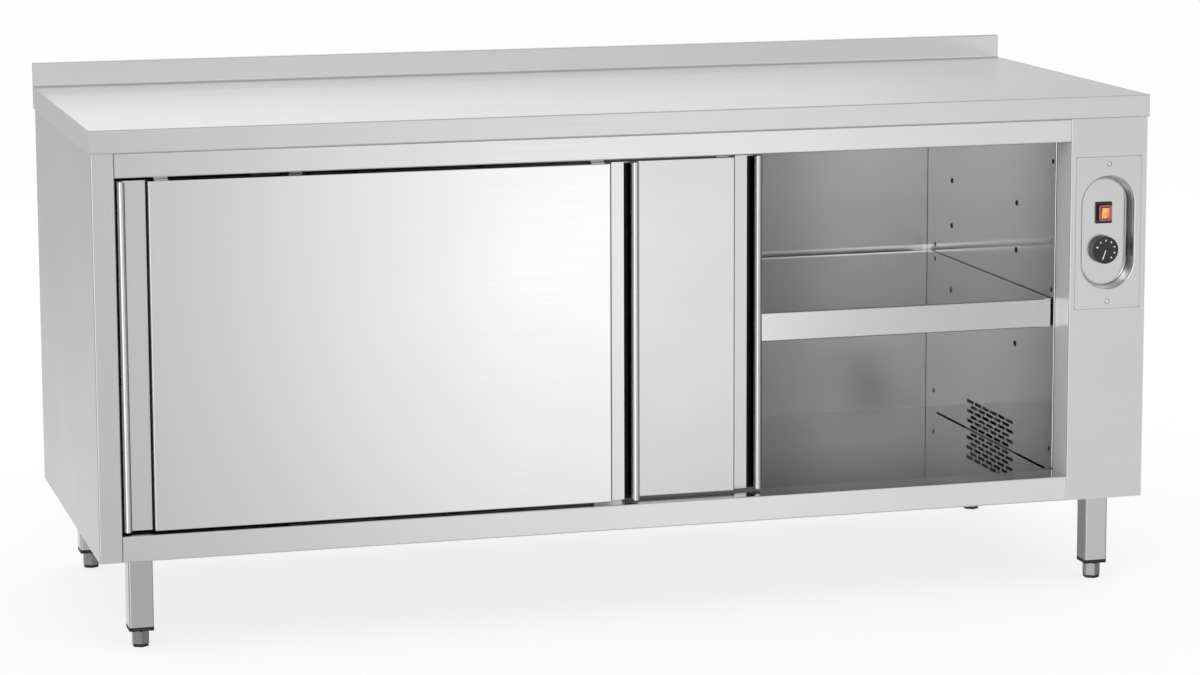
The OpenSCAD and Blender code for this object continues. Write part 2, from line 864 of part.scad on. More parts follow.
// One pull strip in plan, from the door's edge at X = 0: wall, rolled pull and recess floor
module grip_plan(floor_start) {
    t = door_sheet;
    far = 3 * bead_r;
    translate([0, bead_r]) square([t, door_t - bead_r]);
    translate([floor_start, grip_depth]) square([grip_w + grip_lap - floor_start, t]);
    translate([bead_r, bead_r]) difference() {
        circle(bead_r);
        circle(bead_r - t);
        polygon([[0, 0], [far * cos(bead_curl), far * sin(bead_curl)], [0, 2 * far],
            [-far, 2 * far], [-far, 0]]);
    }
}

// The groove beside a pull in plan, with its floor just in front of the inner skin
module groove_plan(mouth) {
    t = door_sheet;
    deep = door_t - 2 * t - gap;
    translate([0, deep]) square([mouth + t, t]);
    translate([mouth, grip_depth]) square([t, deep - grip_depth + t]);
}

// The part of the pull outside its rounded ends, at the low end of a strip
module grip_end_cut() {
    r = bead_end_r;
    translate([bead_d - r, 0]) difference() {
        translate([0, -1]) square([r + 1, r + 1]);
        translate([0, r]) circle(r);
    }
}

module door_grip(f, grooved) {
    mouth = grooved ? bead_d + groove_w : 0;
    groove_top = door_high - door_sheet - bend_r - gap;
    difference() {
        union() {
            along_z(door_low, door_high) translate([0, f]) grip_plan(mouth);
            if (grooved) along_z(door_low, groove_top) translate([0, f]) groove_plan(mouth);
        }
        along_y(f - 1, f + bead_d - 0.5) {
            translate([0, door_low]) grip_end_cut();
            translate([0, door_high]) mirror([0, 1]) grip_end_cut();
        }
    }
}

module door_grips(x, f) {
    translate([x, 0, 0]) door_grip(f, false);
    translate([x + door_w, 0, 0]) mirror([1, 0, 0]) door_grip(f, true);
}

// The inner skin, open below for the guide fin
module door_liner(x, f) {
    t = door_sheet;
    along_x(x + t, x + door_w - t) folded([[f + door_t - t / 2, door_low],
        [f + door_t - t / 2, door_high - t / 2], [f + grip_depth + t, door_high - t / 2]], t);
}

// Two brackets on a door's head, each with the axle of its roller
module door_hangers(x, f) {
    t = hanger_t;
    for (cx = [x + hanger_inset, x + door_w - hanger_inset]) {
        block([cx - hanger_w / 2, f + 1, door_high],
            [cx + hanger_w / 2, f + hanger_depth + t, door_high + t]);
        along_y(f + hanger_depth, f + hanger_depth + t) {
            translate([cx - hanger_w / 2, door_high]) square([hanger_w, axle_z - door_high]);
            translate([cx, axle_z]) circle(hanger_w / 2 - 3);
        }
        bar_y(f + hanger_depth + t, f + collar_end, cx, axle_z, axle_r + 1.5);
        bar_y(f + collar_end, f + axle_end, cx, axle_z, axle_r);
        bar_y(f + axle_end - 1, f + axle_end, cx, axle_z, axle_r + 2);
    }
}

// A roller with chamfered edges, a shallow dish in its face and a true bore
module door_roller(cx, f) {
    c = 0.8;
    w = roller_w;
    bore = axle_r + run;
    translate([cx, f + roller_near, axle_z]) rotate([-90, 0, 0]) rotate_extrude()
        polygon([[bore, 0], [roller_r - c, 0], [roller_r, c], [roller_r, w - c],
            [roller_r - c, w], [roller_r - 3, w], [roller_r - 3.6, w - 1],
            [bore + 2.6, w - 1], [bore + 2, w], [bore, w]]);
}

// --- Controls ---

// Points on an arc about c, from angle a0 to a1, as [distance from the spine, depth]
function arc(c, r, a0, a1, n = 6) =
    [for (i = [0 : n]) let (a = a0 + (a1 - a0) * i / n) c + r * [cos(a), sin(a)]];

// The pressed recess in section: the seen face from the middle out, then back behind it
function pan_section() =
    let (t = sheet,
        a = pan_draft,
        c1 = [pan_rim_r, pan_shoulder],
        run_l = (pan_depth - pan_fillet - pan_shoulder + (pan_shoulder + pan_fillet) * sin(a)) / cos(a),
        c2 = [pan_rim_r - (pan_shoulder + pan_fillet) * cos(a) - run_l * sin(a),
            pan_depth - pan_fillet])
    concat([[0, pan_depth]], arc(c2, pan_fillet, 90, a), arc(c1, pan_shoulder, 180 + a, 270),
        [[pan_rim_r + 1, 0], [pan_rim_r + 1, t]],
        arc(c1, pan_shoulder - t, 270, 180 + a), arc(c2, pan_fillet + t, a, 90), [[0, pan_depth + t]]);

// The section swept round a stadium: two half turns and two straight sides
module pressed_pan() {
    for (s = [0, 180]) rotate([0, 0, s]) {
        translate([0, pan_spine, 0]) rotate_extrude(angle = 180) polygon(pan_section());
        translate([0, pan_spine, 0]) rotate([90, 0, 0]) linear_extrude(2 * pan_spine)
            polygon(pan_section());
    }
}

module control_plate() {
    color(steel) difference() {
        translate([column_x, plate_y, plate_z]) rotate([-90, 0, 0]) {
            linear_extrude(sheet) difference() {
                soft_square(plate_w, plate_h, 3);
                stadium(pan_rim_r, pan_spine);
                for (s = [-1, 1]) translate([0, s * plate_screw_span / 2]) circle(screw_r / 2 + run);
            }
            pressed_pan();
        }
        bar_y(pan_floor_y - 1, pan_floor_y + sheet + 1, column_x, knob_z, bush_r + run);
        along_y(pan_floor_y - 1, pan_floor_y + sheet + 1) translate([column_x, switch_z])
            square([switch_w - 4, switch_h - 4], center = true);
    }
}

// Round-headed screws, one above and one below the recess
module plate_screws() {
    length = 9;
    color(steel) for (s = [-1, 1])
        translate([column_x, plate_y, plate_z + s * plate_screw_span / 2]) {
            rotate([90, 0, 0]) dome(screw_r, 1.5);
            rotate([-90, 0, 0]) cylinder(h = length, r = screw_r / 2 - run);
        }
}

// The switch's flange, the collar round its rocker and its body behind the recess
module switch_housing() {
    cavity = rocker_w / 2 + gap;
    body_l = 24;
    color(black) difference() {
        union() {
            along_y(pan_floor_y - switch_flange_t, pan_floor_y) translate([column_x, switch_z])
                soft_square(switch_w, switch_h, 2);
            along_y(switch_front_y, pan_floor_y) translate([column_x, switch_z])
                soft_square(collar_w, collar_v, 3);
            block([column_x - switch_w / 2 + 2 + gap, pan_floor_y, switch_z - switch_h / 2 + 2 + gap],
                [column_x + switch_w / 2 - 2 - gap, pan_floor_y + body_l,
                    switch_z + switch_h / 2 - 2 - gap]);
        }
        block([column_x - cavity, switch_front_y - 1, switch_z - rocker_r - gap],
            [column_x + cavity, rocker_axis_y + rocker_depth + 3, switch_z + rocker_r + gap]);
        bar_x(column_x - cavity - 1.5, column_x + cavity + 1.5, rocker_axis_y, switch_z, pivot_r + run);
    }
}

// The rocker, turned about its pivot to the side that is on
module switch_rocker() {
    tilt = rocker_swing / 2;
    color(red) translate([column_x, rocker_axis_y, switch_z]) rotate([tilt, 0, 0]) {
        along_x(-rocker_w / 2, rocker_w / 2) intersection() {
            circle(rocker_r);
            polygon([[-rocker_face + 0.8, 0], [-rocker_face - 0.2, rocker_r],
                [rocker_depth, rocker_r], [rocker_depth, -rocker_r], [-rocker_face - 0.2, -rocker_r]]);
        }
        bar_x(-rocker_w / 2 - 1.3, rocker_w / 2 + 1.3, 0, 0, pivot_r);
    }
}

module thermostat_body() {
    y = pan_floor_y + sheet;
    s = thermostat_side / 2;
    color(zinc) difference() {
        union() {
            block([column_x - s, y, knob_z - s + 4], [column_x + s, y + thermostat_l, knob_z + s - 10]);
            bar_y(pan_floor_y - bush_h, y, column_x, knob_z, bush_r);
        }
        bar_y(pan_floor_y - bush_h - 1, y + thermostat_l / 2, column_x, knob_z, spindle_r + run);
    }
}

module thermostat_spindle() {
    color(brass) bar_y(knob_front_y + 3, pan_floor_y + sheet + thermostat_l / 2 - gap,
        column_x, knob_z, spindle_r);
}

// A flat knob with a soft edge, hollow behind for the thermostat's bush
module control_knob() {
    r = knob_r;
    soft = 1.5;
    hub = spindle_r + 3;
    deep = knob_h - 3;
    color(black) translate([column_x, knob_front_y, knob_z]) rotate([-90, 0, 0]) rotate_extrude()
        polygon(concat([[0, 0]], arc([r - soft, soft], soft, 270, 360, 5),
            [[r + 0.3, knob_h], [r - 2, knob_h], [r - 2.2, 4], [hub, 4],
            [hub, knob_h - bush_h - 1], [spindle_r, knob_h - bush_h - 1], [spindle_r, 3], [0, 3]]));
}

// The feeler on the back of the inner wall, with its thin tube up to the thermostat
module sensor_bulb() {
    y = pan_floor_y + sheet + thermostat_l * 3 / 4;
    low = duct_z + duct_r + sensor_rise;
    color(brass) {
        bar_z(low, low + sensor_l, sensor_x, sensor_y, sensor_r);
        bar_z(low + sensor_l - 1, tube_z + tube_r, sensor_x, sensor_y, tube_r);
        bar_y(y - tube_r, sensor_y, sensor_x, tube_z, tube_r);
        bar_x(sensor_x, column_x - thermostat_side / 2, y, tube_z, tube_r);
    }
}

// --- Heating gear ---

// A D-shaped duct behind the grille, with an end plate at each end and a flange on the wall
module fan_housing() {
    t = sheet;
    module duct_outline(r) {
        circle_half(r);
        translate([wall_back_x - duct_x, -r]) square([duct_x - wall_back_x, 2 * r]);
    }
    module circle_half(r) {
        intersection() {
            circle(r);
            translate([0, -r]) square([r, 2 * r]);
        }
    }
    color(zinc) difference() {
        union() {
            along_y(duct_front, duct_back) translate([duct_x, duct_z]) difference() {
                duct_outline(duct_r + t);
                duct_outline(duct_r);
            }
            for (y = [duct_front, duct_back - t])
                along_y(y, y + t) translate([duct_x, duct_z]) duct_outline(duct_r + t);
            block([wall_back_x, duct_front, duct_z + duct_r],
                [wall_back_x + t, duct_back, duct_z + duct_r + flange]);
        }
        bar_y(duct_front - 1, duct_back + 1, duct_x, duct_z, shaft_r + run);
        for (i = [0, 1]) bar_y(duct_front - 1, duct_front + t + 1, heater_x,
            heater_z + i * heater_pitch, heater_r + run);
    }
}

// A hairpin tube low behind the grille, its two ends through the duct's front plate
module heater_element() {
    y0 = duct_front - 18;
    y1 = duct_back - heater_pitch / 2 - heater_r - 5;
    color(steel) {
        for (i = [0, 1]) bar_y(y0, y1, heater_x, heater_z + i * heater_pitch, heater_r);
        translate([heater_x, y1, heater_z + heater_pitch / 2]) rotate([0, 90, 0])
            rotate_extrude(angle = 180) translate([heater_pitch / 2, 0]) circle(heater_r);
    }
}

// The wheel: a ring of bent blades between discs, on one shaft
module fan_wheel() {
    disc = 1.5;
    step = 360 / blade_count;
    bend = wheel_r * 0.45;
    module blade() {
        intersection() {
            translate([wheel_r - blade_d / 2, bend - blade_t]) difference() {
                circle(bend);
                circle(bend - blade_t);
            }
            translate([wheel_r - blade_d, -blade_t]) square([blade_d - 0.4, bend]);
        }
    }
    color(zinc) {
        along_y(wheel_front + disc, wheel_front + wheel_l - disc) translate([duct_x, duct_z])
            for (i = [0 : blade_count - 1]) rotate(i * step) blade();
        for (y = [wheel_front, wheel_front + wheel_l / 2 - disc / 2, wheel_front + wheel_l - disc])
            bar_y(y, y + disc, duct_x, duct_z, wheel_r);
        bar_y(duct_front - motor_l + 4, duct_back + 4, duct_x, duct_z, shaft_r);
    }
}

module fan_motor() {
    s = motor_side / 2;
    y0 = duct_front - motor_l;
    color(steel_dark) difference() {
        union() {
            along_y(y0 + 6, duct_front) translate([duct_x + 4, duct_z + 4])
                soft_square(motor_side, motor_side, 4);
            bar_y(y0, y0 + 6, duct_x, duct_z, s * 0.6);
        }
        bar_y(y0 + 3, duct_front + 1, duct_x, duct_z, shaft_r + run);
        for (i = [0, 1]) bar_y(y0, duct_front + 1, heater_x, heater_z + i * heater_pitch, heater_r + 2);
    }
}

// A row of six terminals on the base, with a raised rib between each pair
module terminal_block() {
    ways = 6;
    pitch = 10;
    y = pan_floor_y + sheet + 2 * thermostat_l;
    z = body_z + 2 * sheet;
    color(nylon) {
        block([column_x - 9, y, z], [column_x + 9, y + ways * pitch, z + 12]);
        for (i = [0 : ways])
            block([column_x - 9, y + i * (pitch - 0.25), z + 12],
                [column_x + 9, y + i * (pitch - 0.25) + 1.5, z + 16]);
    }
}

// The gland for the mains lead, in the base at the back of the column
module cable_gland() {
    z = body_z + sheet;
    bore = 4.5;
    color(black) difference() {
        union() {
            translate([column_x, gland_y, z - 8]) cylinder(h = 8, r = 13, $fn = 6);
            bar_z(z - 22, z - 8, column_x, gland_y, 9.5);
            bar_z(z, z + 14, column_x, gland_y, gland_hole_r - run);
            translate([column_x, gland_y, z + sheet]) cylinder(h = 5, r = 12, $fn = 6);
        }
        bar_z(z - 23, z + 15, column_x, gland_y, bore);
    }
}

// --- Legs ---

// A square tube with a welded plate in its top
module leg(x, y) {
    color(steel) translate([x, y, 0]) {
        along_z(leg_low, body_z + sheet) difference() {
            soft_square(leg_s, leg_s, leg_r);
            soft_square(leg_s - 2 * leg_t, leg_s - 2 * leg_t, leg_r - leg_t);
        }
        along_z(body_z + sheet - leg_top_t, body_z + sheet)
            square(leg_s - 2 * leg_t, center = true);
    }
}

// The plastic insert in each leg's foot, with the bore for the foot's stem
module leg_inserts() {
    color(black) for (x = leg_x, y = leg_y) translate([x, y, 0]) difference() {
        union() {
            along_z(insert_z, leg_low) soft_square(leg_s, leg_s, leg_r);
            along_z(leg_low, leg_low + plug_l)
                soft_square(leg_s - 2 * leg_t, leg_s - 2 * leg_t, leg_r - leg_t);
        }
        bar_z(insert_z - 1, leg_low + plug_l + 1, 0, 0, stem_r + run);
    }
}

// A levelling foot: a six-sided body on a narrower sole, and its stem
module foot(x, y) {
    r = foot_w / 2;
    color(zinc) translate([x, y, 0]) {
        rotate(30) cylinder(h = foot_h / 2, r = r - 1, $fn = 6);
        translate([0, 0, sole_h]) intersection() {
            rotate(30) cylinder(h = foot_h - sole_h, r = r, $fn = 6);
            rotate_extrude() polygon([[0, 0], [r, 0], [r, foot_h - sole_h - 3],
                [r - 3, foot_h - sole_h], [0, foot_h - sole_h]]);
        }
        bar_z(foot_h / 2, foot_h + stem_l, 0, 0, stem_r);
    }
}

worktop();
worktop_core();
left_side_panel();
right_side_panel();
control_fascia();
top_rail();
bottom_rail();
base_pan();
back_panel();
service_cover();
inner_back();
inner_left_wall();
inner_right_wall();
inner_floor();
inner_ceiling();
insulation_boards();
door_track();
door_guides();
track_stops();
control_plate();
plate_screws();
switch_housing();
switch_rocker();
thermostat_body();
thermostat_spindle();
control_knob();
sensor_bulb();
heater_element();
fan_housing();
fan_motor();
fan_wheel();
terminal_block();
cable_gland();
leg(leg_x[0], leg_y[0]);  // leg_front_left
leg(leg_x[1], leg_y[0]);  // leg_front_right
leg(leg_x[0], leg_y[1]);  // leg_back_left
leg(leg_x[1], leg_y[1]);  // leg_back_right
leg_inserts();
foot(leg_x[0], leg_y[0]);  // foot_front_left
foot(leg_x[1], leg_y[0]);  // foot_front_right
foot(leg_x[0], leg_y[1]);  // foot_back_left
foot(leg_x[1], leg_y[1]);  // foot_back_right
shelf();
shelf_stiffeners();
shelf_inserts();
shelf_studs();
wall_rivets();
color(steel) door_face(left_door_x, left_face_y);  // door_left_face
color(steel) door_grips(left_door_x, left_face_y);  // door_left_grips
color(steel) door_liner(left_door_x, left_face_y);  // door_left_liner
color(zinc) door_hangers(left_door_x, left_face_y);  // door_left_hangers
color(nylon) door_roller(left_door_x + hanger_inset, left_face_y);  // door_left_roller_a
color(nylon) door_roller(left_door_x + door_w - hanger_inset, left_face_y);  // door_left_roller_b
color(steel) door_face(right_door_x, right_face_y);  // door_right_face
color(steel) door_grips(right_door_x, right_face_y);  // door_right_grips
color(steel) door_liner(right_door_x, right_face_y);  // door_right_liner
color(zinc) door_hangers(right_door_x, right_face_y);  // door_right_hangers
color(nylon) door_roller(right_door_x + hanger_inset, right_face_y);  // door_right_roller_a
color(nylon) door_roller(right_door_x + door_w - hanger_inset, right_face_y);  // door_right_roller_b
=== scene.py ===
"""Looks of the plate warmer cabinet: its finishes, small fittings, studio and camera.

The solids come in as the fixed frame. Each class below dresses one sub-assembly, and
builds the small pieces that only show in a picture. Lengths are in metres.
"""

from __future__ import annotations

import logging
import math
from dataclasses import dataclass, replace
from enum import Enum
import bmesh
import bpy
from mathutils import Matrix, Vector


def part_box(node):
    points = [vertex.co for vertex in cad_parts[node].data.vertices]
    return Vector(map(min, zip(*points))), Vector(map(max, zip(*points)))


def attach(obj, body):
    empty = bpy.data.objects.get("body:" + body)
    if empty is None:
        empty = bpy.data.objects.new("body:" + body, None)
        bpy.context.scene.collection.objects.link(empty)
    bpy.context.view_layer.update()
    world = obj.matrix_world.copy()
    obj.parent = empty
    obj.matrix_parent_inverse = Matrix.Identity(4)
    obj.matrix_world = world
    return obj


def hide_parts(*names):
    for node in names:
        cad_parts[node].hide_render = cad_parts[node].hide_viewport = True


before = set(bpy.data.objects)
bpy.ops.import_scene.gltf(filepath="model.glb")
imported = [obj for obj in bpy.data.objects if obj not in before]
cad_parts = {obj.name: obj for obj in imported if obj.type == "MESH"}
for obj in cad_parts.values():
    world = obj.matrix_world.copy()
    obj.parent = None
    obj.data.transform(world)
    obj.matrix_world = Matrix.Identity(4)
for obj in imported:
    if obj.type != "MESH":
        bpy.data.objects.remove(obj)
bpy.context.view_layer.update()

LOG = logging.getLogger("plate_warmer")
MM = 0.001
FAR = 9.0  # beyond every piece of the cabinet, in metres and on either side

# The sockets of a Mix node that mixes colours: its factor, its two colours and its result
MIX_COLOUR_INPUTS = (0, 6, 7)
MIX_COLOUR_OUTPUT = 2

Colour = tuple[float, float, float]
Point2 = tuple[float, float]
Point3 = tuple[float, float, float]


class Grain(Enum):
    """The way a sheet was brushed, as the stretch of its grain along X, Y and Z."""

    ALONG_X = (3.0, 300.0, 300.0)
    ALONG_Y = (300.0, 3.0, 300.0)
    ALONG_Z = (300.0, 300.0, 3.0)


# --- Wiring of materials ---


class Wiring:
    """A node tree that is being wired, with one method for each kind of step."""

    def __init__(self, tree: bpy.types.NodeTree) -> None:
        """Keeps the tree and empties it.

        Args:
            tree: the material's tree or the group that is wired.
        """
        self.tree = tree
        self.tree.nodes.clear()

    def add(self, kind: str, **settings: object) -> bpy.types.Node:
        """Adds a node.

        Args:
            kind: Blender's name for the node's type, without its prefix.
            settings: attributes of the node and their values.

        Returns:
            The new node.
        """
        node = self.tree.nodes.new("ShaderNode" + kind)
        for name, value in settings.items():
            setattr(node, name, value)
        return node

    def join(self, source: object, target: bpy.types.NodeSocket) -> None:
        """Links a socket to another one, or sets it where the source is a plain value.

        Args:
            source: an output socket, a number or a colour with its alpha.
            target: the input socket that takes it.
        """
        if isinstance(source, bpy.types.NodeSocket):
            self.tree.links.new(source, target)
        else:
            target.default_value = source

    def math(self, operation: str, a: object, b: object = 0.0, clamp: bool = False) -> bpy.types.NodeSocket:
        """Adds a sum, a product or another operation on one or two numbers.

        Args:
            operation: the name of the operation.
            a: the first socket or number.
            b: the second socket or number.
            clamp: whether the result is held between 0 and 1.

        Returns:
            The result's socket.
        """
        node = self.add("Math", operation=operation, use_clamp=clamp)
        self.join(a, node.inputs[0])
        self.join(b, node.inputs[1])
        return node.outputs[0]

    def blend(self, factor: bpy.types.NodeSocket, low: bpy.types.NodeSocket | Colour,
              high: Colour) -> bpy.types.NodeSocket:
        """Adds a mix of two colours.

        Args:
            factor: the socket that chooses between them.
            low: the colour at 0, or its socket.
            high: the colour at 1.

        Returns:
            The colour's socket.
        """
        node = self.add("Mix", data_type="RGBA")
        under = low if isinstance(low, bpy.types.NodeSocket) else (*low, 1.0)
        for source, target in zip((factor, under, (*high, 1.0)), (node.inputs[i] for i in MIX_COLOUR_INPUTS)):
            self.join(source, target)
        return node.outputs[MIX_COLOUR_OUTPUT]

    def within(self, value: bpy.types.NodeSocket, low: object, high: object,
               softness: object) -> bpy.types.NodeSocket:
        """Adds a mask that is 1 where a value lies between two others.

        Args:
            value: the socket that is tested.
            low: the lower bound, a socket or a number.
            high: the upper bound, a socket or a number.
            softness: the width of the soft edges, a socket or a number.

        Returns:
            The mask's socket.
        """
        sides = []
        for upper, lower in ((value, low), (high, value)):
            past = self.math("DIVIDE", self.math("SUBTRACT", upper, lower), softness)
            sides.append(self.math("ADD", past, 0.5, clamp=True))
        return self.math("MULTIPLY", *sides)

    def axes(self, source: str) -> dict[str, bpy.types.NodeSocket]:
        """Adds the coordinates of the place that is shaded.

        Args:
            source: which of the coordinates are read, such as Object.

        Returns:
            The sockets of X, Y and Z.
        """
        parts = self.add("SeparateXYZ")
        self.join(self.add("TexCoord").outputs[source], parts.inputs[0])
        return {axis: parts.outputs[axis] for axis in "XYZ"}

    def noise(self, vector: bpy.types.NodeSocket, scale: object, detail: float = 2.0) -> bpy.types.NodeSocket:
        """Adds a noise texture.

        Args:
            vector: where it is read.
            scale: how fine it is, a socket or a number.
            detail: how many finer layers it has.

        Returns:
            The socket of its value, from 0 to 1.
        """
        node = self.add("TexNoise")
        node.inputs["Detail"].default_value = detail
        self.join(scale, node.inputs["Scale"])
        self.join(vector, node.inputs["Vector"])
        return node.outputs["Fac"]


@dataclass(frozen=True)
class Effect:
    """A shared effect: a shader node group with named inputs and outputs.

    An input that starts with three numbers is a vector. The others and the outputs are single numbers.
    """

    name: str
    inputs: dict[str, float | Point3]
    outputs: tuple[str, ...] = ("Tone", "Roughness", "Height")

    def start(self) -> tuple[Wiring, bpy.types.Node, bpy.types.Node]:
        """Makes the empty group with its sockets.

        Returns:
            The wiring, the node that brings the inputs and the node that takes the outputs.
        """
        tree = bpy.data.node_groups.new(self.name, "ShaderNodeTree")
        for name, value in self.inputs.items():
            kind = "NodeSocketVector" if isinstance(value, tuple) else "NodeSocketFloat"
            socket = tree.interface.new_socket(name, in_out="INPUT", socket_type=kind)
            socket.default_value = value
        for name in self.outputs:
            tree.interface.new_socket(name, in_out="OUTPUT", socket_type="NodeSocketFloat")
        return Wiring(tree), tree.nodes.new("NodeGroupInput"), tree.nodes.new("NodeGroupOutput")

    def tree(self) -> bpy.types.NodeTree:
        """Finds the effect's group."""
        return bpy.data.node_groups[self.name]


def make_brushing() -> bpy.types.NodeTree:
    """Builds the effect of a brushed sheet: fine streaks along the grain and soft hazy patches.

    Returns:
        The group, with outputs Tone, Roughness and Height.
    """
    effect = Effect("Brushed Sheet",
                    {"Stretch": Grain.ALONG_X.value, "Roughness": 0.25, "Streak": 0.1, "Haze": 0.1})
    patch_scale = 3.2
    streak_detail = 3.0
    w, start, end = effect.start()
    place = w.add("TexCoord").outputs["Object"]
    stretched = w.add("VectorMath", operation="MULTIPLY")
    w.join(place, stretched.inputs[0])
    w.join(start.outputs["Stretch"], stretched.inputs[1])
    streaks = w.noise(stretched.outputs[0], 1.0, streak_detail)
    patches = w.noise(place, patch_scale)
    streak = w.math("MULTIPLY", w.math("SUBTRACT", streaks, 0.5), start.outputs["Streak"])
    haze = w.math("MULTIPLY", w.math("SUBTRACT", patches, 0.5), start.outputs["Haze"])
    both = w.math("ADD", streak, haze)
    w.join(w.math("ADD", w.math("MULTIPLY", both, 2.0), 0.5, clamp=True), end.inputs["Tone"])
    w.join(w.math("SUBTRACT", start.outputs["Roughness"], w.math("MULTIPLY", both, 0.5), clamp=True),
           end.inputs["Roughness"])
    w.join(streaks, end.inputs["Height"])
    return effect.tree()


def make_spot_welds() -> bpy.types.NodeTree:
    """Builds the effect of rows of spot welds: shallow dimples at an even pitch along X.

    Returns:
        The group, with outputs Mask and Height.
    """
    effect = Effect("Spot Welds", {"First Row": -0.157, "Second Row": 0.193, "Spread": 24 * MM,
                                   "Pitch": 60 * MM, "Radius": 3.5 * MM}, ("Mask", "Height"))
    flat = 0.6
    w, start, end = effect.start()
    place = w.axes("Object")
    steps = w.math("DIVIDE", place["X"], start.outputs["Pitch"])
    along = w.math("MULTIPLY", w.math("SUBTRACT", w.math("FRACT", steps), 0.5), start.outputs["Pitch"])
    masks = []
    for row in ("First Row", "Second Row"):
        off = w.math("ABSOLUTE", w.math("SUBTRACT", place["Y"], start.outputs[row]))
        across = w.math("SUBTRACT", off, start.outputs["Spread"])
        squares = [w.math("MULTIPLY", side, side) for side in (along, across)]
        reach = w.math("SQRT", w.math("ADD", *squares))
        masks.append(w.math("SUBTRACT", 1.0, w.math("DIVIDE", reach, start.outputs["Radius"]), clamp=True))
    mask = w.math("MAXIMUM", *masks)
    w.join(mask, end.inputs["Mask"])
    w.join(w.math("SUBTRACT", 1.0, w.math("SMOOTH_MIN", mask, flat)), end.inputs["Height"])
    return effect.tree()


def make_moulding() -> bpy.types.NodeTree:
    """Builds the effect of moulded plastic: a fine spark-eroded grain and faint flow marks.

    Returns:
        The group, with outputs Tone, Roughness and Height.
    """
    effect = Effect("Moulded Grain", {"Grain Size": 1400.0, "Roughness": 0.4, "Amount": 0.15})
    flow_scale = 35.0
    w, start, end = effect.start()
    place = w.add("TexCoord").outputs["Object"]
    grain = w.noise(place, start.outputs["Grain Size"])
    flow = w.noise(place, flow_scale)
    swing = w.math("MULTIPLY", w.math("SUBTRACT", flow, 0.5), start.outputs["Amount"])
    w.join(w.math("ADD", swing, 0.5, clamp=True), end.inputs["Tone"])
    w.join(w.math("ADD", start.outputs["Roughness"], swing, clamp=True), end.inputs["Roughness"])
    w.join(grain, end.inputs["Height"])
    return effect.tree()


def make_spangle() -> bpy.types.NodeTree:
    """Builds the effect of zinc plating: faint crystals and cloudy dull patches.

    Returns:
        The group, with outputs Tone, Roughness and Height.
    """
    effect = Effect("Zinc Spangle", {"Crystal Size": 120.0, "Roughness": 0.38, "Amount": 0.3})
    cloud_scale = 14.0
    cloud_detail = 3.0
    cloud_share = 0.6
    w, start, end = effect.start()
    place = w.add("TexCoord").outputs["Object"]
    crystals = w.add("TexVoronoi")
    w.join(place, crystals.inputs["Vector"])
    w.join(start.outputs["Crystal Size"], crystals.inputs["Scale"])
    shade = w.add("SeparateColor")
    w.join(crystals.outputs["Color"], shade.inputs[0])
    clouds = w.noise(place, cloud_scale, cloud_detail)
    both = w.math("ADD", w.math("MULTIPLY", shade.outputs[0], 1 - cloud_share),
                  w.math("MULTIPLY", clouds, cloud_share))
    swing = w.math("MULTIPLY", w.math("SUBTRACT", both, 0.5), start.outputs["Amount"])
    w.join(w.math("ADD", w.math("MULTIPLY", swing, 2.0), 0.5, clamp=True), end.inputs["Tone"])
    w.join(w.math("ADD", start.outputs["Roughness"], w.math("MULTIPLY", swing, 0.4), clamp=True),
           end.inputs["Roughness"])
    w.join(clouds, end.inputs["Height"])
    return effect.tree()


def make_block() -> bpy.types.NodeTree:
    """Builds the effect that tells an upright block of space from the rest.

    Returns:
        The group, with output Mask, which is 1 between the bounds along X, Y and Z.
    """
    bounds = {f"{end} {axis}": value for axis in "XYZ" for end, value in (("Low", -FAR), ("High", FAR))}
    effect = Effect("Within A Block", {**bounds, "Softness": 0.3 * MM}, ("Mask",))
    w, start, end = effect.start()
    masks = [w.within(place, start.outputs[f"Low {axis}"], start.outputs[f"High {axis}"],
                      start.outputs["Softness"]) for axis, place in w.axes("Object").items()]
    w.join(w.math("MULTIPLY", w.math("MULTIPLY", masks[0], masks[1]), masks[2]), end.inputs["Mask"])
    return effect.tree()


class Shade:
    """One material that is being made: its Principled shader and the groups that feed it."""

    def __init__(self, name: str, metallic: float = 0.0) -> None:
        """Starts a material.

        Args:
            name: the material's name.
            metallic: 1 for metals and 0 for the rest.
        """
        self.material = bpy.data.materials.new(name)
        self.material.use_nodes = True
        self.w = Wiring(self.material.node_tree)
        self.surface = self.w.add("BsdfPrincipled")
        self.surface.inputs["Metallic"].default_value = metallic
        output = self.w.add("OutputMaterial")
        self.w.join(self.surface.outputs[0], output.inputs["Surface"])

    def effect(self, tree: bpy.types.NodeTree, **values: object) -> bpy.types.Node:
        """Places a shared effect.

        Args:
            tree: the effect's group.
            values: its inputs by name, with _ for a space.

        Returns:
            The group's node.
        """
        node = self.w.add("Group", node_tree=tree)
        for name, value in values.items():
            node.inputs[name.replace("_", " ")].default_value = value
        return node

    def feed(self, socket: str, source: bpy.types.NodeSocket) -> None:
        """Links a value to one of the shader's sockets."""
        self.w.join(source, self.surface.inputs[socket])

    def relief(self, height: bpy.types.NodeSocket, strength: float, depth: float) -> bpy.types.Node:
        """Adds a bump.

        Args:
            height: the socket of the heights.
            strength: how much of it shows, from 0 to 1.
            depth: the height of the relief in metres.

        Returns:
            The bump's node.
        """
        bump = self.w.add("Bump")
        bump.inputs["Strength"].default_value = strength
        bump.inputs["Distance"].default_value = depth
        self.w.join(height, bump.inputs["Height"])
        return bump


# --- Finishes ---


def grey(level: float) -> Colour:
    """Gives the neutral grey of a linear brightness."""
    return (level, level, level)


# The feet's soles, the lens round its lamp, the lens where no lamp lies behind it, and the spot welds
RUBBER = grey(0.015)
SMOKED = grey(0.02)
UNLIT = grey(0.0)
SCORCHED = grey(0.25)


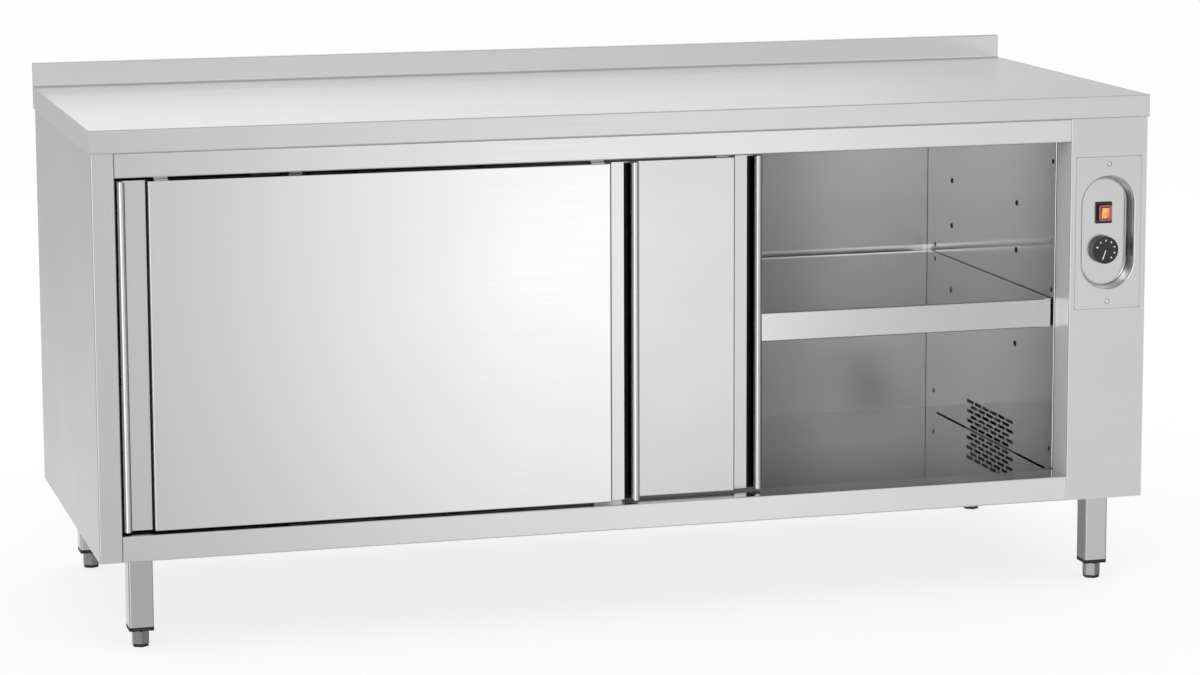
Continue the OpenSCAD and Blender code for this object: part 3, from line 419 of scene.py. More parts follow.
class Effects:
    """The shared effects, built once."""

    def __init__(self) -> None:
        """Builds each group."""
        self.brushing = make_brushing()
        self.spot_welds = make_spot_welds()
        self.moulding = make_moulding()
        self.spangle = make_spangle()
        self.block = make_block()


@dataclass(frozen=True)
class Patch:
    """A place whose colour is painted light or shade, such as painted shade inside a fold: a block of space.
    """

    low: Point3
    high: Point3
    tone: float = 0.01
    softness: float = 0.3 * MM
    matt: float = 0.0

    def over(self, shade: Shade, effects: Effects, colour: bpy.types.NodeSocket) -> bpy.types.NodeSocket:
        """Lays the place's painted light or shade over a colour, and takes the mirror finish away where it is
        matt.

        Args:
            shade: the material.
            effects: the shared effects.
            colour: the socket of the colour below it.

        Returns:
            The new colour's socket.
        """
        bounds = {f"{end}_{axis}": value for end, corner in (("Low", self.low), ("High", self.high))
                  for axis, value in zip("XYZ", corner)}
        block = shade.effect(effects.block, Softness=self.softness, **bounds)
        if self.matt > 0.0:
            dulled = shade.w.math("MULTIPLY", block.outputs["Mask"], self.matt)
            shade.feed("Metallic", shade.w.math("SUBTRACT", 1.0, dulled))
        return shade.w.blend(block.outputs["Mask"], colour, grey(self.tone))


@dataclass(frozen=True)
class SteelFinish:
    """Brushed stainless sheet."""

    name: str
    light: Colour
    dark: Colour
    roughness: float
    grain: Grain
    streak: float = 0.12
    haze: float = 0.12
    bump: float = 0.12
    welds: bool = False
    patches: tuple[Patch, ...] = ()
    mirror: float = 1.0
    scorch: float = 0.8

    def build(self, effects: Effects) -> bpy.types.Material:
        """Makes the material.

        Args:
            effects: the shared effects.

        Returns:
            The material.
        """
        shade = Shade(self.name, metallic=self.mirror)
        sheet = shade.effect(effects.brushing, Stretch=self.grain.value, Roughness=self.roughness,
                             Streak=self.streak, Haze=self.haze)
        colour = shade.w.blend(sheet.outputs["Tone"], self.dark, self.light)
        for patch in self.patches:
            colour = patch.over(shade, effects, colour)
        if self.welds:
            welds = shade.effect(effects.spot_welds)
            scorched = shade.w.math("MULTIPLY", welds.outputs["Mask"], self.scorch)
            colour = shade.w.blend(scorched, colour, SCORCHED)
        shade.feed("Base Color", colour)
        shade.feed("Roughness", sheet.outputs["Roughness"])
        bump = shade.relief(sheet.outputs["Height"], self.bump, 0.1 * MM)
        if self.welds:
            dimples = shade.relief(welds.outputs["Height"], 0.5, 0.8 * MM)
            shade.w.join(bump.outputs[0], dimples.inputs["Normal"])
            bump = dimples
        shade.feed("Normal", bump.outputs[0])
        return shade.material


@dataclass(frozen=True)
class PlatedFinish:
    """Zinc-plated steel."""

    name: str
    light: Colour
    dark: Colour
    roughness: float = 0.38
    crystals: float = 120.0
    sole: float = 0.0

    def build(self, effects: Effects) -> bpy.types.Material:
        """Makes the material, with a black sole below the given level where there is one.

        Args:
            effects: the shared effects.

        Returns:
            The material.
        """
        shade = Shade(self.name, metallic=1.0)
        plating = shade.effect(effects.spangle, Crystal_Size=self.crystals, Roughness=self.roughness)
        colour = shade.w.blend(plating.outputs["Tone"], self.dark, self.light)
        if self.sole > 0.0:
            band = shade.effect(effects.block, High_Z=self.sole)
            colour = shade.w.blend(band.outputs["Mask"], colour, RUBBER)
            shade.feed("Metallic", shade.w.math("SUBTRACT", 1.0, band.outputs["Mask"]))
        shade.feed("Base Color", colour)
        shade.feed("Roughness", plating.outputs["Roughness"])
        shade.feed("Normal", shade.relief(plating.outputs["Height"], 0.1, 0.2 * MM).outputs[0])
        return shade.material


@dataclass(frozen=True)
class PlasticFinish:
    """Moulded plastic."""

    name: str
    light: Colour
    dark: Colour
    roughness: float = 0.4
    grain_size: float = 1400.0
    coat: float = 0.0

    def build(self, effects: Effects) -> bpy.types.Material:
        """Makes the material.

        Args:
            effects: the shared effects.

        Returns:
            The material.
        """
        shade = Shade(self.name)
        mould = shade.effect(effects.moulding, Grain_Size=self.grain_size, Roughness=self.roughness)
        shade.feed("Base Color", shade.w.blend(mould.outputs["Tone"], self.dark, self.light))
        shade.feed("Roughness", mould.outputs["Roughness"])
        shade.surface.inputs["Coat Weight"].default_value = self.coat
        shade.feed("Normal", shade.relief(mould.outputs["Height"], 0.15, 0.1 * MM).outputs[0])
        return shade.material


@dataclass(frozen=True)
class GlowFinish:
    """A clear coloured lens with a lamp behind its window, brighter at the window's left."""

    name: str
    edge: Colour
    bright: Colour
    dim: Colour
    middle: Point2
    half: Point2
    fade: Point2 = (2.6, 5.0)
    coat: float = 0.6

    def build(self, effects: Effects) -> bpy.types.Material:
        """Makes the material.

        Args:
            effects: the shared effects.

        Returns:
            The material.
        """
        shade = Shade(self.name)
        w = shade.w
        (x, z), (wide, high) = self.middle, self.half
        window = shade.effect(effects.block, Low_X=x - wide, High_X=x + wide, Low_Z=z - high, High_Z=z + high)
        place = w.axes("Object")
        across = w.math("DIVIDE", w.math("SUBTRACT", place["X"], x - wide), self.fade[0] * wide)
        down = w.math("DIVIDE", w.math("SUBTRACT", z, place["Z"]), self.fade[1] * high)
        lit = w.blend(w.math("ADD", across, down, clamp=True), self.bright, self.dim)
        outside = w.math("SUBTRACT", 1.0, window.outputs["Mask"])
        mould = shade.effect(effects.moulding, Grain_Size=600.0, Roughness=0.12, Amount=0.1)
        shade.feed("Base Color", w.blend(outside, SMOKED, self.edge))
        shade.feed("Emission Color", w.blend(outside, lit, UNLIT))
        shade.surface.inputs["Emission Strength"].default_value = 1.0
        shade.feed("Roughness", mould.outputs["Roughness"])
        shade.surface.inputs["Coat Weight"].default_value = self.coat
        return shade.material


@dataclass(frozen=True)
class FibreFinish:
    """Pressed fibre: a wool board or a chipboard core."""

    name: str
    light: Colour
    dark: Colour
    size: float = 260.0
    depth: float = 1.2 * MM

    def build(self, effects: Effects) -> bpy.types.Material:
        """Makes the material.

        Args:
            effects: the shared effects.

        Returns:
            The material.
        """
        shade = Shade(self.name)
        mould = shade.effect(effects.moulding, Grain_Size=self.size, Roughness=0.85, Amount=0.9)
        flake = shade.w.math("MULTIPLY", mould.outputs["Height"], mould.outputs["Tone"])
        shade.feed("Base Color", shade.w.blend(shade.w.math("MULTIPLY", flake, 3.0, clamp=True),
                                               self.dark, self.light))
        shade.feed("Roughness", mould.outputs["Roughness"])
        shade.feed("Normal", shade.relief(mould.outputs["Height"], 0.8, self.depth).outputs[0])
        return shade.material


# The shadow line round the control plate, on the fascia
PLATE_SHADOW = Patch((0.768, -FAR, 0.485), (0.888, FAR, 0.747), 0.45)
# Painted light on the jamb that the fascia's sheet turns in to: lighter and mostly matt
JAMB_PAINTED_LIGHT = Patch((0.75, -0.3455, 0.197), (0.761, FAR, 0.773), 0.92, MM, 0.8)
# Painted shade on the right-hand wall of the recess in the control plate
RECESS_WALL_SHADE = Patch((0.8665, -0.342, 0.0), (FAR, FAR, FAR), 0.3, 6 * MM)
# The right-hand part of the inner back, which gets less light
BACK_SHADE = Patch((0.5, -FAR, -FAR), (FAR, FAR, FAR), 0.3, 0.5)
# Painted light on the inner back behind the shelf: a bright strip over the shade there
BACK_GLEAM = Patch((-FAR, -FAR, 0.44), (FAR, FAR, 0.502), 0.8, 2 * MM)
# Painted highlight on what stands out of the walls, of the rivets and inserts
HEAD_PAINTED_HIGHLIGHT = Patch((-0.8593, -FAR, 0.0), (0.7573, FAR, FAR), 0.9)


class Finish(Enum):
    """The finishes of this cabinet."""

    WORKTOP = SteelFinish("worktop_steel", grey(0.82), grey(0.77), 0.24, Grain.ALONG_X, haze=0.08)
    SHELL = SteelFinish("shell_steel", grey(0.84), grey(0.8), 0.2, Grain.ALONG_X, streak=0.06)
    SIDE = SteelFinish("side_steel", grey(0.78), grey(0.73), 0.26, Grain.ALONG_Z, streak=0.06)
    FASCIA = SteelFinish("fascia_steel", grey(0.81), grey(0.77), 0.26, Grain.ALONG_X, streak=0.06,
                         patches=(PLATE_SHADOW, JAMB_PAINTED_LIGHT))
    PLATE = SteelFinish("plate_steel", grey(0.77), grey(0.73), 0.22, Grain.ALONG_Z, streak=0.05,
                        patches=(RECESS_WALL_SHADE,))
    DOOR = SteelFinish("door_steel", grey(0.9), grey(0.86), 0.17, Grain.ALONG_X, streak=0.04, haze=0.08)
    GRIP = SteelFinish("grip_steel", grey(0.88), grey(0.84), 0.2, Grain.ALONG_Z, streak=0.06, haze=0.06)
    LINER = SteelFinish("liner_steel", grey(0.66), grey(0.58), 0.3, Grain.ALONG_X)
    # Painted light and shade: the inner steels are darker than the outer ones, and the inner side walls near
    # white, for the light inside
    INNER = SteelFinish("inner_steel", grey(0.44), grey(0.41), 0.32, Grain.ALONG_X, streak=0.06, haze=0.04,
                        mirror=0.85)
    INNER_BACK = SteelFinish("inner_back_steel", grey(0.44), grey(0.41), 0.32, Grain.ALONG_X, streak=0.06,
                             haze=0.04, patches=(BACK_SHADE, BACK_GLEAM), mirror=0.85)
    INNER_SIDE = SteelFinish("inner_side_steel", grey(0.98), grey(0.96), 0.1, Grain.ALONG_Y, streak=0.06,
                             haze=0.04)
    FLOOR = SteelFinish("inner_floor_steel", grey(0.63), grey(0.6), 0.05, Grain.ALONG_X, streak=0.05,
                        haze=0.04)
    SHELF = SteelFinish("shelf_steel", grey(0.6), grey(0.56), 0.06, Grain.ALONG_X, streak=0.05, haze=0.04,
                        welds=True)
    LEG = SteelFinish("leg_steel", grey(0.66), grey(0.6), 0.2, Grain.ALONG_Z)
    TURNED = SteelFinish("turned_steel", grey(0.86), grey(0.76), 0.14, Grain.ALONG_Z, streak=0.2)
    SCREW = SteelFinish("screw_steel", grey(0.8), grey(0.62), 0.14, Grain.ALONG_Z, streak=0.2)
    # Near black for the painted shade and dark reflection on the rivets' and inserts' heads
    RIVET = SteelFinish("rivet_painted_shade", grey(0.07), grey(0.04), 0.2, Grain.ALONG_Z, streak=0.1,
                        patches=(HEAD_PAINTED_HIGHLIGHT,))
    HEATER = SteelFinish("heater_tube", (0.5, 0.44, 0.36), (0.34, 0.27, 0.2), 0.38, Grain.ALONG_Y)
    PLATED = PlatedFinish("plated_sheet", grey(0.62), grey(0.5))
    MOTOR = PlatedFinish("motor_laminations", grey(0.34), grey(0.24), 0.45, 500.0)
    FOOT = PlatedFinish("foot_zinc", grey(0.5), grey(0.4), 0.3, 260.0, sole=5.2 * MM)
    COPPER = PlatedFinish("drawn_copper", (0.78, 0.46, 0.3), (0.6, 0.32, 0.2), 0.3, 400.0)
    BRASS = PlatedFinish("turned_brass", (0.82, 0.66, 0.34), (0.66, 0.5, 0.24), 0.25, 400.0)
    BLACK = PlasticFinish("black_moulding", (0.03, 0.03, 0.032), (0.012, 0.012, 0.013), 0.35)
    CAP = PlasticFinish("cap_moulding", (0.02, 0.02, 0.021), (0.009, 0.009, 0.01), 0.55, 900.0)
    NYLON = PlasticFinish("white_nylon", (0.86, 0.86, 0.84), (0.74, 0.74, 0.71), 0.42)
    MARK = PlasticFinish("printed_white", (0.9, 0.9, 0.88), (0.8, 0.8, 0.78), 0.5)
    BOOT = PlasticFinish("clear_boot", (0.62, 0.26, 0.25), (0.45, 0.14, 0.14), 0.2, 300.0, coat=0.5)
    LENS = GlowFinish("lit_lens", edge=(0.4, 0.09, 0.09), bright=(1.0, 0.5, 0.08), dim=(0.7, 0.03, 0.02),
                      middle=(0.828, 0.648), half=(6.9 * MM, 9.0 * MM))
    BOARD = FibreFinish("chipboard", (0.72, 0.56, 0.38), (0.45, 0.32, 0.2))
    WOOL = FibreFinish("wool_board", (0.82, 0.72, 0.45), (0.55, 0.44, 0.22), 420.0)


class Wardrobe:
    """Makes each material once and puts it on nodes and pieces."""

    def __init__(self) -> None:
        """Builds the shared effects and starts with no material made."""
        self.effects = Effects()
        self.made: dict[object, bpy.types.Material] = {}

    def material(self, finish: Finish | SteelFinish) -> bpy.types.Material:
        """Gives the material of a finish, made at its first use.

        Args:
            finish: one of the cabinet's finishes, or a steel that only one piece has.

        Returns:
            The material.
        """
        look = finish.value if isinstance(finish, Finish) else finish
        if look not in self.made:
            self.made[look] = look.build(self.effects)
        return self.made[look]

    def dress(self, finish: Finish | SteelFinish, *nodes: str) -> None:
        """Puts a finish on carried-over solids.

        Args:
            finish: the finish.
            nodes: the names of the solids' nodes.
        """
        for name in nodes:
            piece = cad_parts[name]
            if not piece.material_slots:
                piece.data.materials.append(None)
            for place in piece.material_slots:
                place.link = "OBJECT"
                place.material = self.material(finish)
            LOG.info("dressed %s in %s", name, place.material.name)

    def clothe(self, piece: bpy.types.Object, finish: Finish) -> None:
        """Puts a finish on a piece made here.

        Args:
            piece: the piece.
            finish: one of the cabinet's finishes.
        """
        piece.data.materials.clear()
        piece.data.materials.append(self.material(finish))
        LOG.info("built %s in %s", piece.name, finish.value.name)


# --- Meshes ---


def piece_from(name: str, mesh: bmesh.types.BMesh) -> bpy.types.Object:
    """Turns a bmesh into a shown object.

    Args:
        name: the piece's name.
        mesh: its mesh in the cabinet's frame, which is freed.

    Returns:
        The object.
    """
    bmesh.ops.recalc_face_normals(mesh, faces=mesh.faces)
    data = bpy.data.meshes.new(name)
    mesh.to_mesh(data)
    mesh.free()
    piece = bpy.data.objects.new(name, data)
    bpy.context.scene.collection.objects.link(piece)
    return piece


# Turns a piece that rises towards -Y so that it rises towards +Z
LAID_DOWN = Matrix.Rotation(math.radians(-90), 4, "X")


def slab_into(mesh: bmesh.types.BMesh, outline: list[Point2], depth: float, place: Matrix) -> None:
    """Adds a flat piece: an outline in its own X and Z, raised towards its own -Y.

    Args:
        mesh: the mesh that takes it.
        outline: the corners in order.
        depth: its thickness.
        place: where its points go.
    """
    low = [mesh.verts.new(place @ Vector((x, 0.0, z))) for x, z in outline]
    high = [mesh.verts.new(place @ Vector((x, -depth, z))) for x, z in outline]
    count = len(outline)
    mesh.faces.new(high)
    mesh.faces.new(list(reversed(low)))
    for i in range(count):
        j = (i + 1) % count
        mesh.faces.new((low[i], low[j], high[j], high[i]))


def ring_into(mesh: bmesh.types.BMesh, inner: list[Point2], outer: list[Point2], depth: float,
              place: Matrix) -> None:
    """Adds a flat frame between two outlines with as many corners, raised towards its own -Y.

    Args:
        mesh: the mesh that takes it.
        inner: the corners of the opening in order.
        outer: the corners of the rim in order.
        depth: its thickness.
        place: where its points go.
    """
    loops = []
    for y in (0.0, -depth):
        for outline in (inner, outer):
            loops.append([mesh.verts.new(place @ Vector((x, y, z))) for x, z in outline])
    low_in, low_out, high_in, high_out = loops
    count = len(inner)
    for i in range(count):
        j = (i + 1) % count
        mesh.faces.new((high_in[i], high_in[j], high_out[j], high_out[i]))
        mesh.faces.new((low_in[j], low_in[i], low_out[i], low_out[j]))
        mesh.faces.new((high_out[i], high_out[j], low_out[j], low_out[i]))
        mesh.faces.new((high_in[j], high_in[i], low_in[i], low_in[j]))


def circle(radius: float, count: int = 32) -> list[Point2]:
    """Gives the corners of a circle about the origin.

    Args:
        radius: its radius.
        count: how many corners.

    Returns:
        The corners in order.
    """
    steps = [2 * math.pi * i / count for i in range(count)]
    return [(radius * math.cos(a), radius * math.sin(a)) for a in steps]


def cross(length: float, width: float) -> list[Point2]:
    """Gives the corners of a cross with four equal arms about the origin.

    Args:
        length: from the end of one arm to the end of the one across.
        width: the arms' width.

    Returns:
        The corners in order.
    """
    a, b = length / 2, width / 2
    return [(b, b), (b, a), (-b, a), (-b, b), (-a, b), (-a, -b), (-b, -b), (-b, -a), (b, -a), (b, -b),
            (a, -b), (a, b)]


def soft_rectangle(width: float, height: float, radius: float, count: int = 6) -> list[Point2]:
    """Gives the corners of a rectangle with round corners about the origin.

    Args:
        width: its width.
        height: its height.
        radius: its corners' radius.
        count: the steps round each corner.

    Returns:
        The corners in order.
    """
    points: list[Point2] = []
    for turn, (sx, sz) in enumerate(((1, 1), (-1, 1), (-1, -1), (1, -1))):
        for i in range(count + 1):
            a = math.radians(90 * (turn + i / count))
            points.append((sx * (width / 2 - radius) + radius * math.cos(a),
                           sz * (height / 2 - radius) + radius * math.sin(a)))
    return points


def lathe_into(mesh: bmesh.types.BMesh, profile: list[Point2], place: Matrix, count: int = 40) -> None:
    """Adds a turned body: a profile of radius and height, round its own Z.

    Args:
        mesh: the mesh that takes it.
        profile: points from the axis at one end to the axis at the other.
        place: where its points go.
        count: the steps round.
    """
    loops = []
    on_axis = 1e-7
    for radius, z in profile:
        if radius < on_axis:
            loops.append([mesh.verts.new(place @ Vector((0.0, 0.0, z)))])
        else:
            loops.append([mesh.verts.new(place @ Vector((x, y, z))) for x, y in circle(radius, count)])
    for a, b in zip(loops, loops[1:]):
        for i in range(count):
            j = (i + 1) % count
            corners = [a[i % len(a)], a[j % len(a)], b[j % len(b)], b[i % len(b)]]
            unique = list(dict.fromkeys(corners))
            if len(unique) > 2:
                mesh.faces.new(unique)


def frame_into(mesh: bmesh.types.BMesh, stations: list[tuple[Point2, float, float]], place: Matrix) -> None:
    """Adds a closed frame: soft rectangles joined one after the other, and the last to the first.

    Args:
        mesh: the mesh that takes it.
        stations: the width and height, the corners' radius and the Y of each rectangle.
        place: where its points go.
    """
    loops = [[mesh.verts.new(place @ Vector((x, y, z))) for x, z in soft_rectangle(*size, radius)]
             for size, radius, y in stations]
    for low, high in zip(loops, loops[1:] + loops[:1]):
        for i in range(len(low)):
            j = (i + 1) % len(low)
            mesh.faces.new((low[i], low[j], high[j], high[i]))


def carve(target: bpy.types.Object, cutter: bpy.types.Object) -> None:
    """Cuts one mesh out of another and takes the cutter away.

    Args:
        target: the piece that is cut.
        cutter: the shape that is cut out.
    """
    step = target.modifiers.new("cut", "BOOLEAN")
    step.operation = "DIFFERENCE"
    step.solver = "EXACT"
    step.object = cutter
    graph = bpy.context.evaluated_depsgraph_get()
    data = bpy.data.meshes.new_from_object(target.evaluated_get(graph))
    target.modifiers.clear()
    target.data = data
    bpy.data.objects.remove(cutter, do_unlink=True)


def smooth(piece: bpy.types.Object, degrees: float) -> None:
    """Shades a piece smooth except over its sharper edges.

    Args:
        piece: the piece.
        degrees: the angle from which an edge stays sharp.
    """
    for face in piece.data.polygons:
        face.use_smooth = True
    piece.data.set_sharp_from_angle(angle=math.radians(degrees))


# --- Sub-assemblies ---


@dataclass
class Worktop:
    """The worktop with its upstand and the board bonded under it."""

    def build(self, wardrobe: Wardrobe) -> None:
        """Dresses the worktop."""
        wardrobe.dress(Finish.WORKTOP, "worktop")
        wardrobe.dress(Finish.BOARD, "worktop_core")


@dataclass
class Shell:
    """The outer sheets of the body."""

    def build(self, wardrobe: Wardrobe) -> None:
        """Dresses the outer sheets.

        Args:
            wardrobe: the materials.
        """
        wardrobe.dress(Finish.SHELL, "top_rail", "bottom_rail")
        wardrobe.dress(Finish.SIDE, "left_side_panel", "right_side_panel")
        wardrobe.dress(Finish.FASCIA, "control_fascia")
        wardrobe.dress(Finish.PLATED, "base_pan", "back_panel", "service_cover")


@dataclass
class Interior:
    """The heated space: its walls, shelf, studs and rivets."""

    def build(self, wardrobe: Wardrobe) -> None:
        """Dresses the interior.

        Args:
            wardrobe: the materials.
        """
        wardrobe.dress(Finish.INNER_BACK, "inner_back")
        wardrobe.dress(Finish.INNER, "inner_ceiling", "shelf_stiffeners")
        wardrobe.dress(Finish.INNER_SIDE, "inner_left_wall", "inner_right_wall")
        wardrobe.dress(Finish.FLOOR, "inner_floor")
        wardrobe.dress(Finish.SHELF, "shelf")
        wardrobe.dress(Finish.TURNED, "shelf_studs")
        wardrobe.dress(Finish.RIVET, "shelf_inserts", "wall_rivets")
        wardrobe.dress(Finish.WOOL, "insulation_boards")


@dataclass
class SlidingDoors:
    """Both doors with their gear, and the track, stops and guides on the body."""

    sides: tuple[str, ...] = ("left", "right")
    # Painted light and shade: the left door and its pulls lighter, the right door's darker, as copies of one
    # steel
    painted_light_tones: tuple[float, ...] = (0.88, 0.69)
    painted_light_pull_tones: tuple[float, ...] = (0.82, 0.7)
    seams: Point2 = (2.6 * MM, 5.0 * MM)
    seam_depth: float = 14.5 * MM
    groove: Point2 = (26.0 * MM, 49.0 * MM)
    groove_depth: float = 15.5 * MM
    wall_shade_tone: float = 0.06
    wall_start: float = 2.0 * MM
    spread: float = 0.04

    def folded(self, side: str, tone: float, pull_tone: float) -> tuple[SteelFinish, SteelFinish]:
        """Gives the finishes of one door's face and pulls, with painted shade where their folds keep the
        light out.

        Args:
            side: which door.
            tone: the brightness of its face, painted lighter or darker for the light on it.
            pull_tone: the brightness of its pulls, painted lighter or darker for the light on them.

        Returns:
            The face's finish and the pulls' finish.
        """
        low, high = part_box(f"door_{side}_face")
        near = low.y + self.seam_depth
        left, right = self.seams
        # Painted shade: near black in the seams beside the face and in the pull's groove
        folds = (Patch((low.x - left, near, 0.0), (low.x, FAR, FAR)),
                 Patch((high.x, near, 0.0), (high.x + right, FAR, FAR)),
                 Patch((high.x + self.groove[0], low.y + self.groove_depth, 0.0),
                       (high.x + self.groove[1], FAR, FAR)))
        # Painted shade: dark strips on the face's side walls
        start = low.y + self.wall_start
        walls = tuple(Patch((x - MM / 2, start, 0.0), (x + MM / 2, FAR, FAR), self.wall_shade_tone)
                      for x in (low.x, high.x))
        return (replace(Finish.DOOR.value, name=f"{side}_door_steel", light=grey(tone),
                        dark=grey(tone - self.spread), patches=walls),
                replace(Finish.GRIP.value, name=f"{side}_grip_steel", light=grey(pull_tone),
                        dark=grey(pull_tone - self.spread), patches=folds))

    def build(self, wardrobe: Wardrobe) -> None:
        """Dresses the doors and their gear.

        Args:
            wardrobe: the materials.
        """
        for side, tone, pull_tone in zip(self.sides, self.painted_light_tones, self.painted_light_pull_tones):
            face, grips = self.folded(side, tone, pull_tone)
            wardrobe.dress(face, f"door_{side}_face")
            wardrobe.dress(grips, f"door_{side}_grips")
            wardrobe.dress(Finish.LINER, f"door_{side}_liner")
            wardrobe.dress(Finish.PLATED, f"door_{side}_hangers")
            wardrobe.dress(Finish.NYLON, f"door_{side}_roller_a", f"door_{side}_roller_b")
        wardrobe.dress(Finish.PLATED, "door_track")
        wardrobe.dress(Finish.CAP, "track_stops")
        wardrobe.dress(Finish.NYLON, "door_guides")


@dataclass
class Controls:
    """The control plate with its screws, the lit switch and the knob.

    The screws' profile has shares of their radius and heights in millimetres, and the boot's section
    has distances outside the collar and behind its front in millimetres. Clock angles are in degrees.
    """

    middle_x: float = 828.0 * MM
    plate_front: float = -348.0 * MM
    plate_z: float = 616.0 * MM
    screw_span: float = 236.0 * MM
    screw_r: float = 4.5 * MM
    screw_profile: tuple[Point2, ...] = ((0.0, 2.5), (0.35, 2.4), (0.65, 2.0), (0.88, 1.3), (1.0, 0.5),
                                         (1.0, 0.0), (0.44, 0.0), (0.44, -8.0), (0.0, -9.0))
    slot_shares: Point2 = (1.25, 0.3)
    slot_start: float = 0.7 * MM
    slot_depth: float = 3.0 * MM
    slot_turn: float = 20.0
    knob_front: float = -339.5 * MM
    knob_z: float = 584.5 * MM
    mark_r: float = 17.0 * MM
    mark_size: float = 1.6 * MM
    first_clock: float = -71.0
    first_larger: float = 1.2
    mark_step: float = 35.5
    mark_count: int = 7
    pointer_clock: float = 199.7
    pointer: Point3 = (0.7 * MM, 0.85 * MM, 17.0 * MM)
    print_t: float = 0.2 * MM
    sunk: float = 0.05 * MM
    pivot: Point3 = (828.0 * MM, -332.5 * MM, 648.0 * MM)
    tilt: float = 8.0
    face_depth: float = 4.7 * MM
    face_fall: float = 10.8
    mark_rise: float = 5.0 * MM
    ring: Point2 = (1.5 * MM, 2.3 * MM)
    bar: Point3 = (0.9 * MM, 4.4 * MM, 0.3 * MM)
    collar: Point3 = (22.0 * MM, 25.8 * MM, 3.0 * MM)
    collar_front: float = -336.0 * MM
    boot_section: tuple[Point2, ...] = ((0.5, 1.2), (0.5, 0.3), (0.2, -0.2), (-0.5, -0.5), (-2.2, -0.5),
                                        (-3.0, -0.3), (-3.2, -0.05), (0.1, -0.05), (0.1, 1.2))

    def build(self, wardrobe: Wardrobe) -> None:
        """Dresses the controls and builds their screws, boot and marks.

        Args:
            wardrobe: the materials.
        """
        wardrobe.dress(Finish.PLATE, "control_plate")
        wardrobe.dress(Finish.BLACK, "switch_housing", "control_knob")
        wardrobe.dress(Finish.LENS, "switch_rocker")
        wardrobe.dress(Finish.BRASS, "thermostat_spindle")
        wardrobe.dress(Finish.PLATED, "thermostat_body")
        self.screws(wardrobe)
        self.knob_marks(wardrobe)
        self.splash_boot(wardrobe)
        self.switch_marks(wardrobe)

    def screws(self, wardrobe: Wardrobe) -> None:
        """Builds the two round-headed screws with their cross recesses.

        Args:
            wardrobe: the materials.
        """
        mesh = bmesh.new()
        cuts = bmesh.new()
        profile = [(share * self.screw_r, height * MM) for share, height in self.screw_profile]
        arms = cross(*(share * self.screw_r for share in self.slot_shares))
        for side in (-1, 1):
            z = self.plate_z + side * self.screw_span / 2
            head = Matrix.Translation((self.middle_x, self.plate_front, z))
            lathe_into(mesh, profile, head @ Matrix.Rotation(math.radians(90), 4, "X"))
            slot = (head @ Matrix.Rotation(math.radians(self.slot_turn), 4, "Y")
                    @ Matrix.Translation((0, -self.slot_start, 0)))
            slab_into(cuts, arms, self.slot_depth, slot)
        heads = piece_from("plate_screw_heads", mesh)
        carve(heads, piece_from("screw_cutter", cuts))
        smooth(heads, 40)
        wardrobe.clothe(heads, Finish.SCREW)
        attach(heads, "cabinet")
        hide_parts("plate_screws")

    def knob_marks(self, wardrobe: Wardrobe) -> None:
        """Builds the printed triangles and the pointer line on the knob.

        Args:
            wardrobe: the materials.
        """
        mesh = bmesh.new()
        centre = Matrix.Translation((self.middle_x, self.knob_front + self.sunk, self.knob_z))
        for i in range(self.mark_count):
            clock = math.radians(self.first_clock + i * self.mark_step)
            size = self.mark_size * (self.first_larger if i == 0 else 1.0)
            corners = [(-size, -size), (size, -size), (0.0, size * 1.2)]
            place = centre @ Matrix.Rotation(clock, 4, "Y") @ Matrix.Translation((0, 0, self.mark_r))
            slab_into(mesh, corners, self.print_t, place)
        line = centre @ Matrix.Rotation(math.radians(self.pointer_clock), 4, "Y")
        near, far, length = self.pointer
        outline = [(-near, 0.0), (near, 0.0), (far, length), (-far, length)]
        slab_into(mesh, outline, self.print_t + self.sunk, line)
        marks = piece_from("knob_marks", mesh)
        wardrobe.clothe(marks, Finish.MARK)
        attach(marks, "control_knob")

    def splash_boot(self, wardrobe: Wardrobe) -> None:
        """Builds the edge of the clear boot that is stretched over the switch's collar.

        Args:
            wardrobe: the materials.
        """
        wide, high, radius = self.collar
        stations = [((wide + grow * MM, high + grow * MM), radius + grow * MM / 2, self.collar_front + y * MM)
                    for grow, y in self.boot_section]
        mesh = bmesh.new()
        frame_into(mesh, stations, Matrix.Translation((self.pivot[0], 0.0, self.pivot[2])))
        boot = piece_from("splash_boot", mesh)
        smooth(boot, 50)
        wardrobe.clothe(boot, Finish.BOOT)
        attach(boot, "cabinet")

    def on_rocker(self, z: float) -> Matrix:
        """Gives a place on the rocker's face.

        Args:
            z: the height above the rocker's axis, along its face.

        Returns:
            The place, with its own -Y out of the face.
        """
        slope = math.degrees(math.copysign(math.atan(1 / self.face_fall), z))
        depth = -self.face_depth - abs(z) / self.face_fall
        return (Matrix.Translation(self.pivot) @ Matrix.Rotation(math.radians(self.tilt), 4, "X")
                @ Matrix.Translation((0.0, depth + self.sunk, z))
                @ Matrix.Rotation(math.radians(slope), 4, "X"))

    def switch_marks(self, wardrobe: Wardrobe) -> None:
        """Builds the ring and the bar on the rocker.

        Args:
            wardrobe: the materials.
        """
        mesh = bmesh.new()
        inner, outer = (circle(radius) for radius in self.ring)
        ring_into(mesh, inner, outer, self.print_t, self.on_rocker(self.mark_rise))
        slab_into(mesh, soft_rectangle(*self.bar, 3), self.print_t, self.on_rocker(-self.mark_rise))
        marks = piece_from("rocker_marks", mesh)
        wardrobe.clothe(marks, Finish.MARK)
        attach(marks, "switch_rocker")


@dataclass
class Heating:
    """The fan, heater, feeler and wiring points in the control column."""

    def build(self, wardrobe: Wardrobe) -> None:
        """Dresses the heating gear.

        Args:
            wardrobe: the materials.
        """
        wardrobe.dress(Finish.HEATER, "heater_element")
        wardrobe.dress(Finish.PLATED, "fan_housing", "fan_wheel")
        wardrobe.dress(Finish.MOTOR, "fan_motor")
        wardrobe.dress(Finish.COPPER, "sensor_bulb")
        wardrobe.dress(Finish.NYLON, "terminal_block")
        wardrobe.dress(Finish.CAP, "cable_gland")


